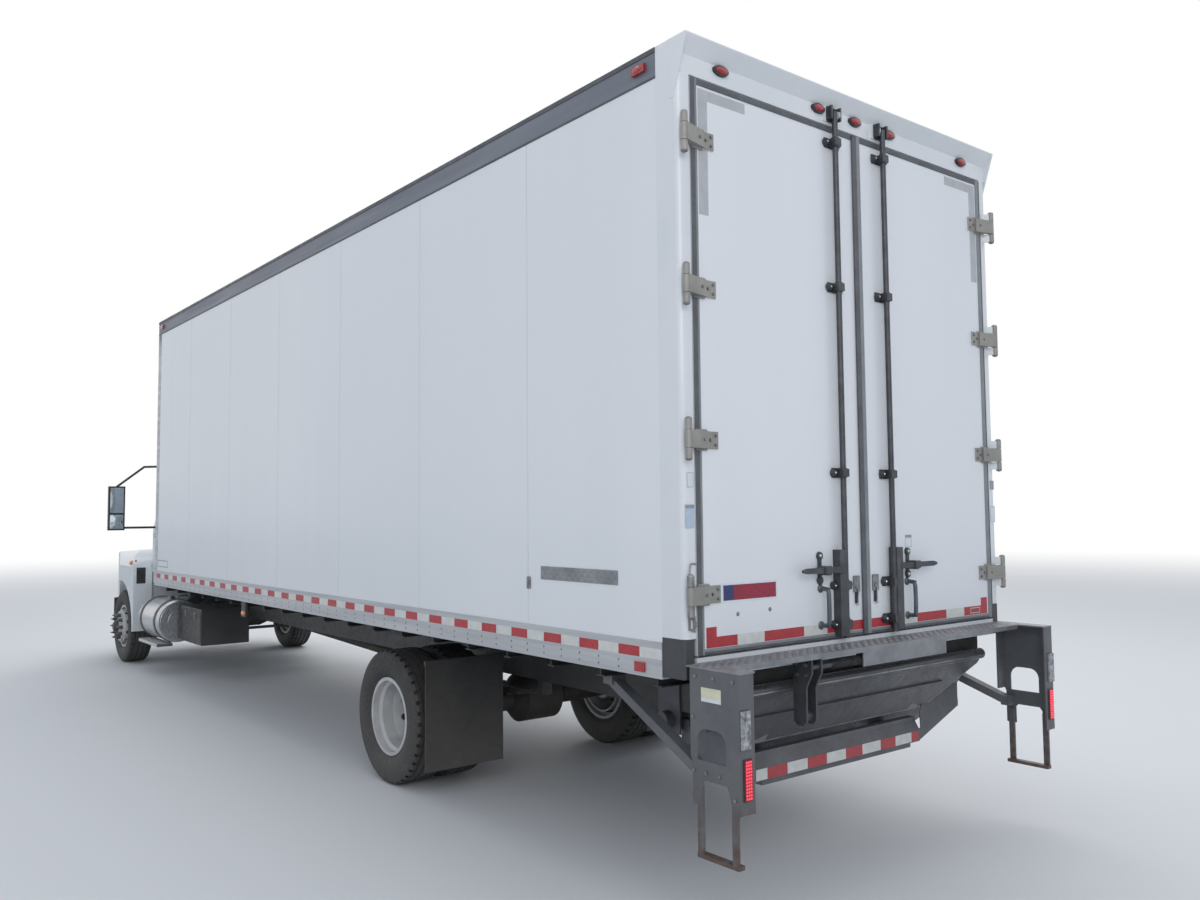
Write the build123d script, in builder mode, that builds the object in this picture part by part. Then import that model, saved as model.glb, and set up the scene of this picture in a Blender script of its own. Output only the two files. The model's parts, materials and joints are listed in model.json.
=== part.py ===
"""Refrigerated box truck: two-axle chassis, conventional cab, insulated body, tuck-under lift.

Millimetres. The front looks along -Y, +X is the truck's left side, +Z is up, the ground is z = 0,
and the origin lies under the middle of the overall box.
"""

import os
from math import atan2, cos, degrees, radians, sin, sqrt

from build123d import *

os.makedirs("parts", exist_ok=True)

# Lengths along the truck
bumper_reach = 1000  # front axle to the bumper's face
axle_to_body = 1930  # front axle to the body's front wall
body_l = 8530
step_reach = 330  # body's rear face to the dock plate's rear edge
rear_overhang = 3050  # rear axle to the body's rear face

front_y = -(bumper_reach + axle_to_body + body_l + step_reach) / 2
front_axle_y = front_y + bumper_reach
body_front_y = front_axle_y + axle_to_body
body_rear_y = body_front_y + body_l
rear_axle_y = body_rear_y - rear_overhang

# Body heights and widths
body_half_w = 1295.5
wall_t = 70
roof_z = 4000
floor_z = 1166  # load floor, level with the sill
floor_t = 80
rail_low_z = 1063
rail_high_z = 1228
top_rail_h = 150
post_w = 70.5  # rear post across
post_d = 150  # rear post along the side
post_low_z = 1253
header_h = 165
sill_h = 90
corner_d = 100  # front corner posts

# Clearances
gap = 0.3  # between pieces that seat on each other
run_gap = 6  # between pieces that move past each other

# Chassis
frame_half_w = 430
frame_top_z = 940
frame_h = 250
flange_w = 75
frame_t = 8
frame_front_y = front_y + 190
frame_rear_y = body_rear_y - 800
frame_low_z = frame_top_z - frame_h

# Wheels
tyre_r = 447.5
tyre_half_w = 141
rim_r = 247.6
rim_half_w = 105
rim_flange_r = 261
rim_t = 9
hub_offset = 160  # rim centre to the mounting face
front_track_x = 1040
rear_mount_x = 924  # face where the twin wheels meet
lug_count = 10
lug_pcd_r = 142.9
lug_r = 17
well_half_w = 46  # drop centre of the rim
well_r = 228
disc_bore_r = 100
drum_r = 205
kingpin_x = 870
spindle_r = 35
rear_spindle_r = 50

# Cab and hood
cab_half_w = 975
cab_rear_y = body_front_y - 250
firewall_y = cab_rear_y - 1100
cab_floor_z = 1010
cab_t = 55
cab_roof_z = 2560
belt_z = 1700
hood_y = firewall_y - 15
nose_y = front_y + 130
hood_low_z = 790
hood_t = 25
fender_half_w = 1200
arch_r = 575
skirt_y = front_axle_y + arch_r + 45

# Rear doors
door_t = 75
door_gap = 6
pin_x = body_half_w - 5.5
pin_out = 35  # hinge pin behind the door's outer face
pin_r = 8
door_low_z = floor_z + 9
door_high_z = roof_z - header_h - 9
hinge_pitch = (door_high_z - door_low_z - 556) / 3
hinge_heights = [door_low_z + 270 + hinge_pitch * i for i in range(4)]
knuckle_half_h = 38  # door's part of the hinge
rod_x = 205
rod_r = 15
rod_out = 34

# Lift
step_top_z = 1146
lift_tube_v = -1050
lift_tube_z = 635
arm_pivot = (-950, 600)
platform_pivot = (-360, 620)
barrel_pivot = (-1060, 450)
rod_eye = (-600, 575)
arm_x = 370
cylinder_x = 260
lift_pin_r = 14
rod_pin_r = 11
rod_eye_play = 6  # the eye is wide on its pin
pack_top = (0, 960)
pack_tilt = 33  # lean of the folded platform from upright, in degrees
pack_l = 600
pack_half_w = 1090
flip_l = 335
flip_tip_half_w = 760
main_tip_half_w = 700
plate_t = 42
fold_tube_r = 30


def save(name, piece):
    """Labels a finished piece and writes it."""
    piece.label = name
    export_step(piece, f"parts/{name}.step")


def save_pair(stem, piece):
    """Writes a left-hand piece and its right-hand mirror image."""
    save(stem + "_left", piece)
    save(stem + "_right", mirror(piece, about=Plane.YZ))


def axle_plane(axle_y):
    """Plane with X across and Z up through a wheel centre line."""
    return Plane(origin=(0, axle_y, tyre_r), x_dir=(1, 0, 0), z_dir=(0, -1, 0))


def axle_axis(axle_y):
    return Axis((0, axle_y, tyre_r), (1, 0, 0))


def block(x, y, z, mode=Mode.ADD):
    """A box between pairs of limits, in the part being built."""
    with Locations(((x[0] + x[1]) / 2, (y[0] + y[1]) / 2, (z[0] + z[1]) / 2)):
        Box(abs(x[1] - x[0]), abs(y[1] - y[0]), abs(z[1] - z[0]), mode=mode)


def rod(start, end, radius):
    """A round bar between two points, in the part being built."""
    run = Vector(*end) - Vector(*start)
    with Locations(Plane(origin=start, z_dir=run).location):
        Cylinder(radius, run.length, align=(Align.CENTER, Align.CENTER, Align.MIN))


# Ladder frame: two pressed channels and the crossmembers between them
crossmember_start = firewall_y + 915  # behind the gearbox
crossmember_pitch = (frame_rear_y - 60 - crossmember_start) / 9
crossmember_ys = [frame_front_y + 60] + [crossmember_start + crossmember_pitch * i for i in range(10)]
crossmember_half_l = frame_half_w - frame_t - gap
with BuildPart() as chassis_frame:
    with BuildSketch(Plane.XZ.offset(-frame_rear_y)):
        for side in (1, -1):
            with Locations((side * (frame_half_w - flange_w / 2), frame_top_z - frame_h / 2)):
                Rectangle(flange_w, frame_h)
            with Locations((side * (frame_half_w - flange_w / 2 - frame_t), frame_top_z - frame_h / 2)):
                Rectangle(flange_w, frame_h - 2 * frame_t, mode=Mode.SUBTRACT)
    extrude(amount=frame_rear_y - frame_front_y)
    for y in crossmember_ys:
        with BuildSketch(Plane.YZ.offset(-crossmember_half_l)):
            with Locations((y, frame_top_z - 95)):
                Rectangle(60, 120)
            with Locations((y + frame_t, frame_top_z - 95)):
                Rectangle(60, 120 - 2 * frame_t, mode=Mode.SUBTRACT)
        extrude(amount=2 * crossmember_half_l)
save("chassis_frame", chassis_frame.part)

# Subframe: two runners on the frame with the floor's I-beams across them
beam_low_z = floor_z - floor_t - 76
beam_half_l = body_half_w - 57
beam_count = 20
beam_pitch = (body_l - 500) / (beam_count - 1)
beam_rear_y = body_rear_y - 250 - beam_pitch  # beam that carries the rear braces
brace_x = 1150
with BuildPart() as subframe:
    for side in (1, -1):
        block((side * (frame_half_w - flange_w), side * frame_half_w),
              (body_front_y + 20, body_rear_y - post_d - 20), (frame_top_z, beam_low_z - gap))
    for i in range(beam_count):
        y = body_front_y + 250 + beam_pitch * i
        with BuildSketch(Plane.YZ.offset(-beam_half_l)):
            with Locations((y, (beam_low_z + floor_z - floor_t) / 2)):
                Rectangle(60, 76)
            for hollow in (1, -1):
                with Locations((y + hollow * 18, (beam_low_z + floor_z - floor_t) / 2)):
                    Rectangle(28, 62, mode=Mode.SUBTRACT)
        extrude(amount=2 * beam_half_l)
save("subframe", subframe.part)

# Insulated floor slab
rail_web_t = 8
rail_proud = 4
rail_in_x = body_half_w + rail_proud - rail_web_t
lip_z = floor_z - 20  # the slab's edge runs on under the walls at this height
floor_half_w = body_half_w - wall_t - gap
with BuildPart() as box_floor:
    block((-(rail_in_x - gap), rail_in_x - gap), (body_front_y + gap, body_rear_y - post_d - gap),
          (floor_z - floor_t, lip_z))
    block((-floor_half_w, floor_half_w), (body_front_y + wall_t + gap, body_rear_y - post_d - gap),
          (lip_z, floor_z))
save("box_floor", box_floor.part)

# Side walls, foam-cored panels standing on the lower rails
wall_top_z = roof_z - top_rail_h - gap
with BuildPart() as side_walls:
    for side in (1, -1):
        block((side * (body_half_w - wall_t), side * body_half_w),
              (body_front_y + corner_d + gap, body_rear_y - post_d - gap), (rail_high_z + gap, wall_top_z))
save("side_walls", side_walls.part)

# Front wall between the corner posts
with BuildPart() as front_wall:
    block((-floor_half_w, floor_half_w), (body_front_y, body_front_y + wall_t), (lip_z + gap, roof_z - gap))
save("front_wall", front_wall.part)

# Roof panel
with BuildPart() as box_roof:
    block((-floor_half_w, floor_half_w), (body_front_y + wall_t + gap, body_rear_y - post_d - gap),
          (roof_z - wall_t, roof_z - 5))
save("box_roof", box_roof.part)

# Aluminium rails: lower extrusions with a closed scuff base, upper ones with the front corner posts
with BuildPart() as body_rails:
    with BuildSketch(Plane.XZ.offset(-(body_rear_y - post_d - gap))):
        out_x = body_half_w + rail_proud
        with BuildLine():
            Polyline((out_x, rail_low_z), (out_x, rail_high_z), (body_half_w - wall_t, rail_high_z),
                     (body_half_w - wall_t, lip_z + gap), (body_half_w - wall_t + 8, lip_z + gap),
                     (body_half_w - wall_t + 8, rail_high_z - 10), (rail_in_x, rail_high_z - 10),
                     (rail_in_x, rail_low_z + 8), (body_half_w - 55, rail_low_z + 8),
                     (body_half_w - 55, rail_low_z), close=True)
        make_face()
        with Locations((body_half_w - wall_t / 2 + 1, roof_z - top_rail_h / 2)):
            Rectangle(wall_t + 2, top_rail_h)
            Rectangle(wall_t - 14, top_rail_h - 16, mode=Mode.SUBTRACT)
    extrude(amount=body_l - post_d - gap)
    block((body_half_w - wall_t, body_half_w + 2), (body_front_y, body_front_y + corner_d),
          (rail_high_z, roof_z - top_rail_h))
    mirror(about=Plane.YZ)
save("body_rails", body_rails.part)

# Rear frame: posts with rounded outer corners, header with its drip channel and lock keepers, sill, hinge
# butts with pins, grab rail
drip_l = 60
wing_l = 280  # the channel's ends run down the posts
keeper_clear = 14
grab_x = body_half_w + 32
with BuildPart() as rear_frame:
    with BuildSketch(Plane.XY.offset(post_low_z)):
        with BuildLine():
            Polyline((body_half_w - post_w, body_rear_y), (body_half_w - post_w, body_rear_y - post_d),
                     (body_half_w, body_rear_y - post_d), (body_half_w, body_rear_y - 30))
            RadiusArc((body_half_w, body_rear_y - 30), (body_half_w - 30, body_rear_y), -30)
            Line((body_half_w - 30, body_rear_y), (body_half_w - post_w, body_rear_y))
        make_face()
    extrude(amount=roof_z - post_low_z)
    with BuildSketch(Plane.YZ.offset(body_half_w - 4)):
        Polygon((body_rear_y - 60, roof_z), (body_rear_y + drip_l, roof_z), (body_rear_y + drip_l, roof_z - 6),
                (body_rear_y - 28, roof_z - wing_l), (body_rear_y - 60, roof_z - wing_l), align=None)
    extrude(amount=6)
    for z in hinge_heights:
        for low in (z - knuckle_half_h - 4 - 44, z + knuckle_half_h + 4):
            with BuildSketch(Plane.XY.offset(low)):
                with BuildLine():
                    Polyline((body_half_w - 45, body_rear_y - 5), (body_half_w - 32, body_rear_y - 5),
                             (pin_x + 14, body_rear_y + pin_out - 4))
                    RadiusArc((pin_x + 14, body_rear_y + pin_out - 4), (pin_x - 12, body_rear_y + pin_out + 8), -15)
                    Line((pin_x - 12, body_rear_y + pin_out + 8), (body_half_w - 45, body_rear_y - 5))
                make_face()
            extrude(amount=44)
        with Locations((pin_x, body_rear_y + pin_out, z)):
            Cylinder(pin_r, 2 * knuckle_half_h + 96)
    block((rod_x - 60, rod_x + 60), (body_rear_y - 1, body_rear_y + 8), (roof_z - 150, roof_z - 70))
    for x in (rod_x - rod_r - keeper_clear - 6, rod_x + rod_r + keeper_clear):
        with BuildSketch(Plane.YZ.offset(x)):
            Polygon((body_rear_y, roof_z - 145), (body_rear_y + 46, roof_z - 125), (body_rear_y + 46, roof_z - 100),
                    (body_rear_y, roof_z - 75), align=None)
        extrude(amount=6)
    mirror(about=Plane.YZ)
    block((-body_half_w, body_half_w), (body_rear_y - post_d, body_rear_y), (roof_z - header_h, roof_z))
    block((-(body_half_w - post_w - gap), body_half_w - post_w - gap), (body_rear_y - post_d, body_rear_y),
          (floor_z - sill_h, floor_z))
    for side in (1, -1):
        block((side * (body_half_w - post_w - 12), side * (body_half_w - post_w + 6)),
              (body_rear_y - post_d, body_rear_y - door_t - door_gap), (floor_z - 12, post_low_z + 30))
    with BuildSketch(Plane.YZ.offset(-body_half_w)):
        Polygon((body_rear_y - 4, roof_z - 80), (body_rear_y + drip_l, roof_z - 6), (body_rear_y + drip_l, roof_z),
                (body_rear_y + drip_l - 6, roof_z), (body_rear_y - 4, roof_z - 68), align=None)
    extrude(amount=2 * body_half_w)
    rod((-grab_x, body_rear_y - 50, 1596), (-grab_x, body_rear_y - 50, 1931), 9)
    for z in (1605, 1922):
        rod((-grab_x, body_rear_y - 50, z), (-body_half_w + 4, body_rear_y - 50, z), 9)
save("rear_frame", rear_frame.part)

# Lower corners of the rear frame, steel boxes under the posts
with BuildPart() as corner_boxes:
    for side in (1, -1):
        block((side * (body_half_w - post_w), side * body_half_w), (body_rear_y - post_d, body_rear_y - 5),
              (floor_z - sill_h, post_low_z - gap))
    chamfer(corner_boxes.edges().filter_by(Axis.Z).group_by(Axis.Y)[-1], 10)
    add(rear_frame.part, mode=Mode.SUBTRACT)
save("corner_boxes", corner_boxes.part)

# Rear swing doors: insulated leaves with strap hinges round the pins
leaf_out_x = body_half_w - post_w - door_gap
with BuildPart() as cargo_door:
    block((door_gap, leaf_out_x), (body_rear_y - door_t, body_rear_y), (door_low_z, door_high_z))
    for z in hinge_heights:
        block((leaf_out_x - 69, leaf_out_x), (body_rear_y, body_rear_y + 10), (z - 47, z + 47))
        block((leaf_out_x - 141, leaf_out_x - 60), (body_rear_y, body_rear_y + 6), (z - 40, z + 40))
        with BuildSketch(Plane.XY.offset(z - knuckle_half_h)):
            with Locations((pin_x, body_rear_y + pin_out)):
                Circle(16)
            Polygon((leaf_out_x - 60, body_rear_y + 9), (leaf_out_x - 60, body_rear_y + 20),
                    (pin_x - 5, body_rear_y + pin_out + 15), (pin_x + 3, body_rear_y + pin_out + 2),
                    (leaf_out_x, body_rear_y + 9), align=None)
            with Locations((pin_x, body_rear_y + pin_out)):
                Circle(pin_r + gap, mode=Mode.SUBTRACT)
        extrude(amount=2 * knuckle_half_h)
save_pair("cargo_door", cargo_door.part)

# Lock gear of one door: rod in its guides, housing with the handle, hasp, grab handle and latch plate
handle_z = door_low_z + 347
hasp_x = rod_x + 167
grab_low_z, grab_high_z = door_low_z + 72, door_low_z + 255
with BuildPart() as lock_gear:
    rod((rod_x, body_rear_y + rod_out, door_low_z), (rod_x, body_rear_y + rod_out, roof_z - header_h + 62), rod_r)
    for z in (door_low_z + 70, door_low_z + 265, door_low_z + 835, door_high_z - 856, door_high_z - 91):
        block((rod_x - 62, rod_x + 53), (body_rear_y + gap, body_rear_y + 8), (z - 25, z + 25))
        block((rod_x - rod_r - 9, rod_x + rod_r + 9), (body_rear_y + 7, body_rear_y + rod_out + rod_r + 6),
              (z - 20, z + 20))
    with BuildSketch(Plane.XY.offset(door_low_z + 15)):
        Polygon((rod_x + 7, body_rear_y + gap), (rod_x + 57, body_rear_y + gap), (rod_x + 57, body_rear_y + 46),
                (rod_x + 45, body_rear_y + 62), (rod_x + 19, body_rear_y + 62), (rod_x + 7, body_rear_y + 50),
                align=None)
    extrude(amount=430)
    with BuildSketch(Plane.XZ.offset(-(body_rear_y + 64))):
        Polygon((rod_x + 30, handle_z - 18), (rod_x + 90, handle_z - 15), (rod_x + 330, handle_z - 12),
                (rod_x + 360, handle_z - 5), (rod_x + 360, handle_z + 7), (rod_x + 330, handle_z + 15),
                (rod_x + 90, handle_z + 15), (rod_x + 30, handle_z + 18), align=None)
    extrude(amount=12)
    block((hasp_x - 12, hasp_x + 12), (body_rear_y + gap, body_rear_y + 8), (handle_z - 55, handle_z + 68))
    block((hasp_x - 12, hasp_x + 12), (body_rear_y + 7, body_rear_y + 70), (handle_z - 24, handle_z - 12))
    block((hasp_x - 12, hasp_x + 12), (body_rear_y + 63, body_rear_y + 70), (handle_z - 24, handle_z + 6))
    for z in (grab_low_z, grab_high_z):
        rod((hasp_x - 6, body_rear_y + gap, z), (hasp_x - 6, body_rear_y + 58, z), 7)
    rod((hasp_x - 6, body_rear_y + 52, grab_low_z - 6), (hasp_x - 6, body_rear_y + 52, grab_high_z + 6), 7)
    block((69, 91), (body_rear_y + gap, body_rear_y + 9), (door_low_z + 165, door_low_z + 305))
save_pair("lock_gear", lock_gear.part)

# Refrigeration unit on the nose of the body, with the louvred air intake in its front
reefer_y = body_front_y - 560
reefer_low_z, reefer_top_z = roof_z - 1430, roof_z - 120
reefer_half_w = 980
intake_half_w = 640
intake_z = (reefer_low_z + 330, reefer_low_z + 850)
louvre_count = 7
with BuildPart() as reefer_unit:
    with BuildSketch(Plane.YZ.offset(-reefer_half_w)):
        with BuildLine():
            Polyline((body_front_y - gap, reefer_low_z), (body_front_y - gap, reefer_top_z),
                     (reefer_y + 160, reefer_top_z))
            RadiusArc((reefer_y + 160, reefer_top_z), (reefer_y, reefer_top_z - 160), -160)
            Polyline((reefer_y, reefer_top_z - 160), (reefer_y, reefer_low_z + 190),
                     (reefer_y + 190, reefer_low_z), (body_front_y - gap, reefer_low_z))
        make_face()
    extrude(amount=2 * reefer_half_w)
    block((-intake_half_w, intake_half_w), (reefer_y - 1, reefer_y + 60), intake_z, mode=Mode.SUBTRACT)
    louvre_pitch = (intake_z[1] - intake_z[0]) / louvre_count
    with BuildSketch(Plane.YZ.offset(-intake_half_w - 1)):
        for i in range(louvre_count):
            z = intake_z[0] + louvre_pitch * i + 12
            Polygon((reefer_y + 3, z), (reefer_y + 9, z - 4), (reefer_y + 55, z + 40), (reefer_y + 49, z + 44),
                    align=None)
    extrude(amount=2 * intake_half_w + 2)
save("reefer_unit", reefer_unit.part)

# Dock step plate behind the sill, deeper over the side brackets, with a smooth fascia under its lip
step_deep = 170
bracket_in_v = 25
bracket_out_v = 320
bracket_w = 88
with BuildPart() as step_plate:
    block((-(body_half_w - 1), body_half_w - 1), (body_rear_y + gap, body_rear_y + step_deep),
          (step_top_z - 8, step_top_z))
    block((-(body_half_w - bracket_w - 8), body_half_w - bracket_w - 8),
          (body_rear_y + step_deep - 6, body_rear_y + step_deep), (step_top_z - 26, step_top_z))
    for side in (1, -1):
        block((side * (body_half_w - bracket_w - 6), side * (body_half_w - 1)),
              (body_rear_y + step_deep - 1, body_rear_y + bracket_out_v + 3), (step_top_z - 8, step_top_z))
    block((-(body_half_w - bracket_w - 8), body_half_w - bracket_w - 8), (body_rear_y + gap, body_rear_y + 10),
          (step_top_z - 60, step_top_z))
    block((-470, 250), (body_rear_y + step_deep - 12, body_rear_y + step_deep - 5.5),
          (step_top_z - 96, step_top_z - 20))
save("step_plate", step_plate.part)

# Roller bracket hung under the step plate, with the torsion spring's bar that balances the platform
spring_bar = (125, 1077)
hanger_v = (32, 110)
with BuildPart() as roller_bracket:
    for x in (540, 610):
        with BuildSketch(Plane.YZ.offset(x)):
            Polygon((body_rear_y + hanger_v[0], step_top_z - 8 - gap), (body_rear_y + hanger_v[1] + 36, step_top_z - 8 - gap),
                    (body_rear_y + hanger_v[1] + 36, spring_bar[1] - 26), (body_rear_y + hanger_v[1], 980),
                    (body_rear_y + hanger_v[1], 820), (body_rear_y + hanger_v[1] - 20, 800),
                    (body_rear_y + hanger_v[0] + 20, 800), (body_rear_y + hanger_v[0], 820), align=None)
        extrude(amount=12)
    rod((540, body_rear_y + (hanger_v[0] + hanger_v[1]) / 2, 840),
        (622, body_rear_y + (hanger_v[0] + hanger_v[1]) / 2, 840), 24)
    rod((216, body_rear_y + spring_bar[0], spring_bar[1]), (622, body_rear_y + spring_bar[0], spring_bar[1]), 14)
    block((216, 230), (body_rear_y + spring_bar[0] - 20, body_rear_y + spring_bar[0] + 20),
          (spring_bar[1] - 24, step_top_z - 8 - gap))
save("roller_bracket", roller_bracket.part)

# Side brackets: cut steel plates with a lamp flange, stirrup step and diagonal brace
bracket_t = 8
bracket_top_z = step_top_z - 8 - gap
bracket_low_z = 560
cutout_low, cutout_high, cutout_r = 750, 886, 55
with BuildPart() as side_brackets:
    with BuildSketch(Plane.YZ.offset(body_half_w - bracket_t)):
        v = body_rear_y
        Polygon((v + bracket_in_v, bracket_top_z), (v + bracket_out_v, bracket_top_z),
                (v + bracket_out_v, bracket_low_z), (v + 276, bracket_low_z), (v + 252, 650), (v + 238, 668),
                (v + 105, 668), (v + 92, 652), (v + 92, bracket_low_z), (v + 35, bracket_low_z), (v + 35, 740),
                (v + bracket_in_v, 760), align=None)
        with BuildLine():
            Polyline((v + 65, cutout_high - cutout_r), (v + 65, cutout_low), (v + 238, cutout_low),
                     (v + 238, cutout_high - cutout_r))
            RadiusArc((v + 238, cutout_high - cutout_r), (v + 238 - cutout_r, cutout_high), -cutout_r)
            Line((v + 238 - cutout_r, cutout_high), (v + 65 + cutout_r, cutout_high))
            RadiusArc((v + 65 + cutout_r, cutout_high), (v + 65, cutout_high - cutout_r), -cutout_r)
        make_face(mode=Mode.SUBTRACT)
    extrude(amount=bracket_t)
    block((body_half_w - bracket_w, body_half_w), (body_rear_y + bracket_out_v - 8, body_rear_y + bracket_out_v),
          (bracket_low_z, bracket_top_z))
    block((body_half_w - bracket_w, body_half_w), (body_rear_y + bracket_in_v, body_rear_y + bracket_in_v + 8),
          (760, bracket_top_z))
    stirrup_z = 350
    for v in (70, 275):
        block((body_half_w - 22, body_half_w - bracket_t), (body_rear_y + v - 16, body_rear_y + v + 16),
              (stirrup_z, 640))
    block((body_half_w - 46, body_half_w - bracket_t), (body_rear_y + 50, body_rear_y + 295),
          (stirrup_z - 18, stirrup_z))
    brace_start = Vector(body_half_w - 40, body_rear_y + 60, 690)
    brace_end = Vector(brace_x, beam_rear_y, beam_low_z - 30)
    with BuildSketch(Plane(origin=brace_start, x_dir=(1, 0, 0), z_dir=brace_end - brace_start)):
        Rectangle(60, 44)
    extrude(amount=(brace_end - brace_start).length)
    block((brace_x - 45, brace_x + 45), (beam_rear_y - 34, beam_rear_y + 34), (beam_low_z - 44, beam_low_z - gap))
    block((body_half_w - 72, body_half_w - 4), (body_rear_y + 34, body_rear_y + 86), (664, 716))
    mirror(about=Plane.YZ)
save("side_brackets", side_brackets.part)

# Lift frame: cross tube on hanger plates with lugs for the arms and cylinders
tube_y = body_rear_y + lift_tube_v
arm_lug_x = 26
cylinder_lug_x = 41
with BuildPart() as lift_frame:
    with Locations(Location((0, tube_y, lift_tube_z), (0, 90, 0))):
        Cylinder(50, 2 * (frame_half_w + 70))
    for side in (1, -1):
        block((side * (frame_half_w + gap), side * (frame_half_w + 12)), (tube_y - 90, tube_y + 90),
              (560, frame_top_z - 30))
        for x in (arm_x - arm_lug_x, arm_x + arm_lug_x):
            with BuildSketch(Plane.YZ.offset(side * x - 5)):
                Polygon((tube_y - 45, 650), (body_rear_y + arm_pivot[0] + 25, 640),
                        (body_rear_y + arm_pivot[0] + 25, 575), (tube_y - 45, 600), align=None)
            extrude(amount=10)
        with Locations(Location((side * arm_x, body_rear_y + arm_pivot[0], arm_pivot[1]), (0, 90, 0))):
            Cylinder(lift_pin_r, 2 * arm_lug_x + 10)
        for x in (cylinder_x - cylinder_lug_x, cylinder_x + cylinder_lug_x):
            with BuildSketch(Plane.YZ.offset(side * x - 5)):
                Polygon((tube_y - 45, 620), (tube_y + 45, 620), (body_rear_y + barrel_pivot[0] + 30, 430),
                        (body_rear_y + barrel_pivot[0] - 30, 430), align=None)
            extrude(amount=10)
        with Locations(Location((side * cylinder_x, body_rear_y + barrel_pivot[0], barrel_pivot[1]), (0, 90, 0))):
            Cylinder(lift_pin_r, 2 * cylinder_lug_x + 10)
save("lift_frame", lift_frame.part)


def bar_profile(start, end, half_start, half_end):
    """Tapered link outline in the side plane, between two pivots given from the body's rear face."""
    along = sqrt((end[0] - start[0]) ** 2 + (end[1] - start[1]) ** 2)
    uy, uz = (end[0] - start[0]) / along, (end[1] - start[1]) / along
    corners = ((start, half_start, 1), (end, half_end, 1), (end, half_end, -1), (start, half_start, -1))
    Polygon(*[(body_rear_y + p[0] - s * h * uz, p[1] + s * h * uy) for p, h, s in corners], align=None)
    with Locations((body_rear_y + start[0], start[1])):
        Circle(half_start)
    with Locations((body_rear_y + end[0], end[1])):
        Circle(half_end)


# Lift arms: two box arms on the lugs, joined by a torque tube that clears the cylinders' eyes
torque_tube = (rod_eye[0] + 30, rod_eye[1] + 62)
with BuildPart() as lift_arms:
    for side in (1, -1):
        with BuildSketch(Plane.YZ.offset(side * arm_x - 18)):
            bar_profile(arm_pivot, platform_pivot, 34, 30)
            with Locations((body_rear_y + arm_pivot[0], arm_pivot[1]),
                           (body_rear_y + platform_pivot[0], platform_pivot[1])):
                Circle(lift_pin_r + gap, mode=Mode.SUBTRACT)
        extrude(amount=36)
        with Locations(Location((side * cylinder_x, body_rear_y + rod_eye[0], rod_eye[1]), (0, 90, 0))):
            Cylinder(rod_pin_r, 2 * cylinder_lug_x + 10)
        for x in (cylinder_x - cylinder_lug_x, cylinder_x + cylinder_lug_x):
            with BuildSketch(Plane.YZ.offset(side * x - 5)):
                Polygon((body_rear_y + rod_eye[0] - 24, rod_eye[1] - 20),
                        (body_rear_y + rod_eye[0] + 24, rod_eye[1] - 20),
                        (body_rear_y + torque_tube[0] + 26, torque_tube[1] + 6),
                        (body_rear_y + torque_tube[0] - 26, torque_tube[1] + 6), align=None)
            extrude(amount=10)
    rod((-arm_x, body_rear_y + torque_tube[0], torque_tube[1]), (arm_x, body_rear_y + torque_tube[0], torque_tube[1]),
        28)
save("lift_arms", lift_arms.part)

# Lift cylinders and rods
run_y, run_z = rod_eye[0] - barrel_pivot[0], rod_eye[1] - barrel_pivot[1]
run_l = sqrt(run_y ** 2 + run_z ** 2)
run_tilt = degrees(atan2(run_z, run_y))
barrel_l = 330
barrel_plane = Plane(origin=(0, body_rear_y + barrel_pivot[0], barrel_pivot[1]), x_dir=(1, 0, 0),
                     z_dir=(0, cos(radians(run_tilt)), sin(radians(run_tilt))))
cylinder_rod_r = 19
with BuildPart() as lift_barrels:
    for side in (1, -1):
        with BuildSketch(barrel_plane.offset(26)):
            with Locations((side * cylinder_x, 0)):
                Circle(32)
                Circle(cylinder_rod_r + 0.4, mode=Mode.SUBTRACT)
        extrude(amount=barrel_l - 26)
        with Locations(Location((side * cylinder_x, body_rear_y + barrel_pivot[0], barrel_pivot[1]), (0, 90, 0))):
            Cylinder(30, 60)
        with Locations(Location((side * cylinder_x, body_rear_y + barrel_pivot[0], barrel_pivot[1]), (0, 90, 0))):
            Cylinder(lift_pin_r + gap, 60, mode=Mode.SUBTRACT)
save("lift_barrels", lift_barrels.part)

rod_eye_r = rod_pin_r + rod_eye_play
with BuildPart() as lift_rods:
    for side in (1, -1):
        with BuildSketch(barrel_plane.offset(run_l - 300)):
            with Locations((side * cylinder_x, 0)):
                Circle(cylinder_rod_r)
        extrude(amount=300 - rod_eye_r)
        with Locations(Location((side * cylinder_x, body_rear_y + rod_eye[0], rod_eye[1]), (0, 90, 0))):
            Cylinder(rod_eye_r + 11, 60)
        with Locations(Location((side * cylinder_x, body_rear_y + rod_eye[0], rod_eye[1]), (0, 90, 0))):
            Cylinder(rod_eye_r, 60, mode=Mode.SUBTRACT)
save("lift_rods", lift_rods.part)

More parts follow.
